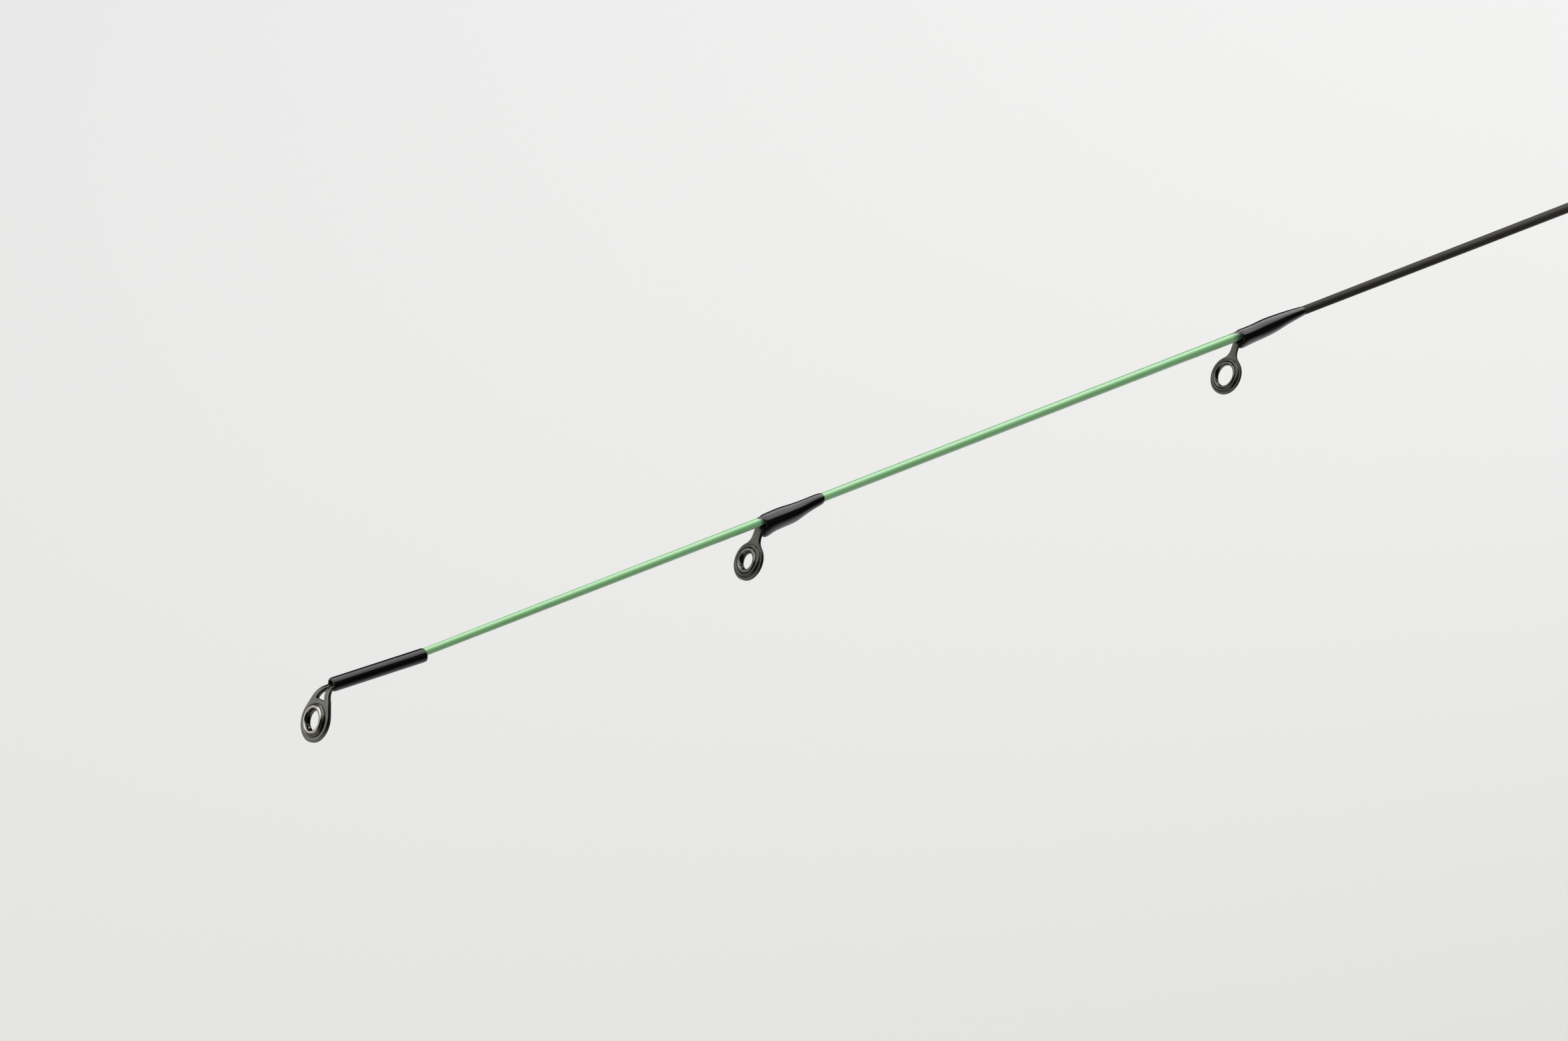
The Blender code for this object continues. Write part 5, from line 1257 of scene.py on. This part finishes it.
choose(nut, in_a_groove)
nut_middle = ((NUT_FRONT + NUT_REAR) / 2 * MM, 0, 0)
bpy.ops.transform.resize(value=(1, GROOVE_SHRINK, GROOVE_SHRINK), center_override=nut_middle)
clear_desk()
round_edges(nut, 0.12, segments=2, angle=30)
finish_piece(nut, hood_steel, "nut", "hood", "lock_nut")

# %% [markdown]
# ## The hook keeper
# In front of the handle a small wire ring folds on an eye, and holds the hook when the rod is carried.
# Its foot is whipped down like a guide's. The lug is a disc with a hole, stamped from sheet, with its
# crown drawn up to the foot in the same way as a guide's neck.

# %% Stamp the keeper's lug and foot
KEEPER_X, KEEPER_Z = -481.5, -8.015
DISC, EYE, LUG_SHEET, DRILL_LENGTH = 1.5, 0.75, 0.8, 2.0
CROWN_ABOVE, CROWN_STRETCH = 0.2, 1.25
FOOT_MIDDLE, FOOT_LENGTH, FOOT_WIDTH, FOOT_SHEET = 6.5, 16.0, 2.4, 0.5
FOOT_TAPERS, TAPER = 10.0, 0.5
LUG_ROUND = 0.08


def combine(piece, tool, operation):
    """Cuts a tool out of a piece or joins it on, and throws the tool away."""
    apply_modifier(piece, "BOOLEAN", operation=operation, object=tool, solver="EXACT")
    bpy.data.objects.remove(tool, do_unlink=True)


keeper_blank = blank_radius(KEEPER_X + FOOT_LENGTH)
foot_top = keeper_blank + 0.08
eye_place = (KEEPER_X * MM, 0, KEEPER_Z * MM)
clear_desk()
bpy.ops.mesh.primitive_cylinder_add(
    vertices=48, radius=DISC * MM, depth=LUG_SHEET * MM, location=eye_place,
    rotation=(math.pi / 2, 0, 0), enter_editmode=True,
)
lug = put_down("keeper_lug")
bpy.ops.mesh.primitive_cylinder_add(
    vertices=32, radius=EYE * MM, depth=DRILL_LENGTH * MM, location=eye_place, rotation=(math.pi / 2, 0, 0)
)
drill = bpy.context.object
choose(lug, lambda p: p.z > (KEEPER_Z + CROWN_ABOVE) * MM)
bpy.ops.transform.resize(value=(1, 1, CROWN_STRETCH), center_override=eye_place)
combine(lug, drill, "DIFFERENCE")
clear_desk()
bpy.ops.mesh.primitive_cube_add(
    size=1.0, location=((KEEPER_X + FOOT_MIDDLE) * MM, 0, -(foot_top + FOOT_SHEET / 2) * MM),
    scale=(FOOT_LENGTH * MM, FOOT_WIDTH * MM, FOOT_SHEET * MM), enter_editmode=True,
)
foot_plate = put_down("keeper_foot")
foot_end = (KEEPER_X + FOOT_MIDDLE + FOOT_LENGTH / 2) * MM
choose(foot_plate, lambda p: p.x > (KEEPER_X + FOOT_TAPERS) * MM)
bpy.ops.transform.resize(value=(1, TAPER, TAPER), center_override=(foot_end, 0, -foot_top * MM))
combine(lug, foot_plate, "UNION")
round_edges(lug, LUG_ROUND, segments=2, angle=SHEET_ANGLE)
finish_piece(lug, guide_metal, "butt_section", "guide_frame", "keeper_base")

# %% Bend the keeper's ring and wind its whipping
WIRE_RING, WIRE = 3.9, 0.45
WRAP_START, WRAP_LENGTH, WRAP_FOOT, WRAP_TONGUE = 1.8, 20.3, 12.7, 0.6

clear_desk()
bpy.ops.mesh.primitive_torus_add(
    major_segments=72, minor_segments=16, major_radius=WIRE_RING * MM, minor_radius=WIRE * MM,
    location=(KEEPER_X * MM, 0, (KEEPER_Z - WIRE_RING) * MM), rotation=(0, math.pi / 2, 0),
)
bpy.ops.object.transform_apply(location=True, rotation=True, scale=True)
wire = bpy.context.object
wire.name = wire.data.name = "keeper_wire_ring"
finish_piece(wire, dark_ring, "hook_ring", "keeper_wire", "keeper_ring")
keeper_start = KEEPER_X + WRAP_START
keeper_rear = blank_radius(keeper_start + WRAP_LENGTH)
keeper_rows = wrap_outline(WRAP_LENGTH, WRAP_FOOT, foot_top + FOOT_SHEET + EPOXY, keeper_blank, keeper_rear)
wind(
    "keeper_whipping", keeper_start, keeper_rows, blank_radius(keeper_start) - BORE_INSET, whipping,
    "butt_section", ["keeper_wrap"], tongue=WRAP_TONGUE,
)

# %% [markdown]
# ## What stays as it was
# The bushes under the seat and the plug in the end of the blank never show, so their solids are good
# enough. They still get real finishes.

# %% Paint the solids that stay
HIDDEN = [("rear_bush", bush_plastic, "bush"), ("fore_bush", bush_plastic, "bush")]
HIDDEN += [("blank_end_plug", black_rubber, "rubber")]

for node, finish, slot in HIDDEN:
    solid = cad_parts[node]
    solid.data.materials.clear()
    solid.data.materials.append(finish)

# %% [markdown]
# ## Sizes
# The dressed rod has to keep the size of its solids, so both boxes are written down before the end.

# %% Write the two boxes and finish
dressed_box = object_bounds()
for name, (low, high) in (("solids", cad_box), ("dressed", dressed_box)):
    print(name, "mm:", " x ".join(f"{(b - a) / MM:.1f}" for a, b in zip(low, high)))
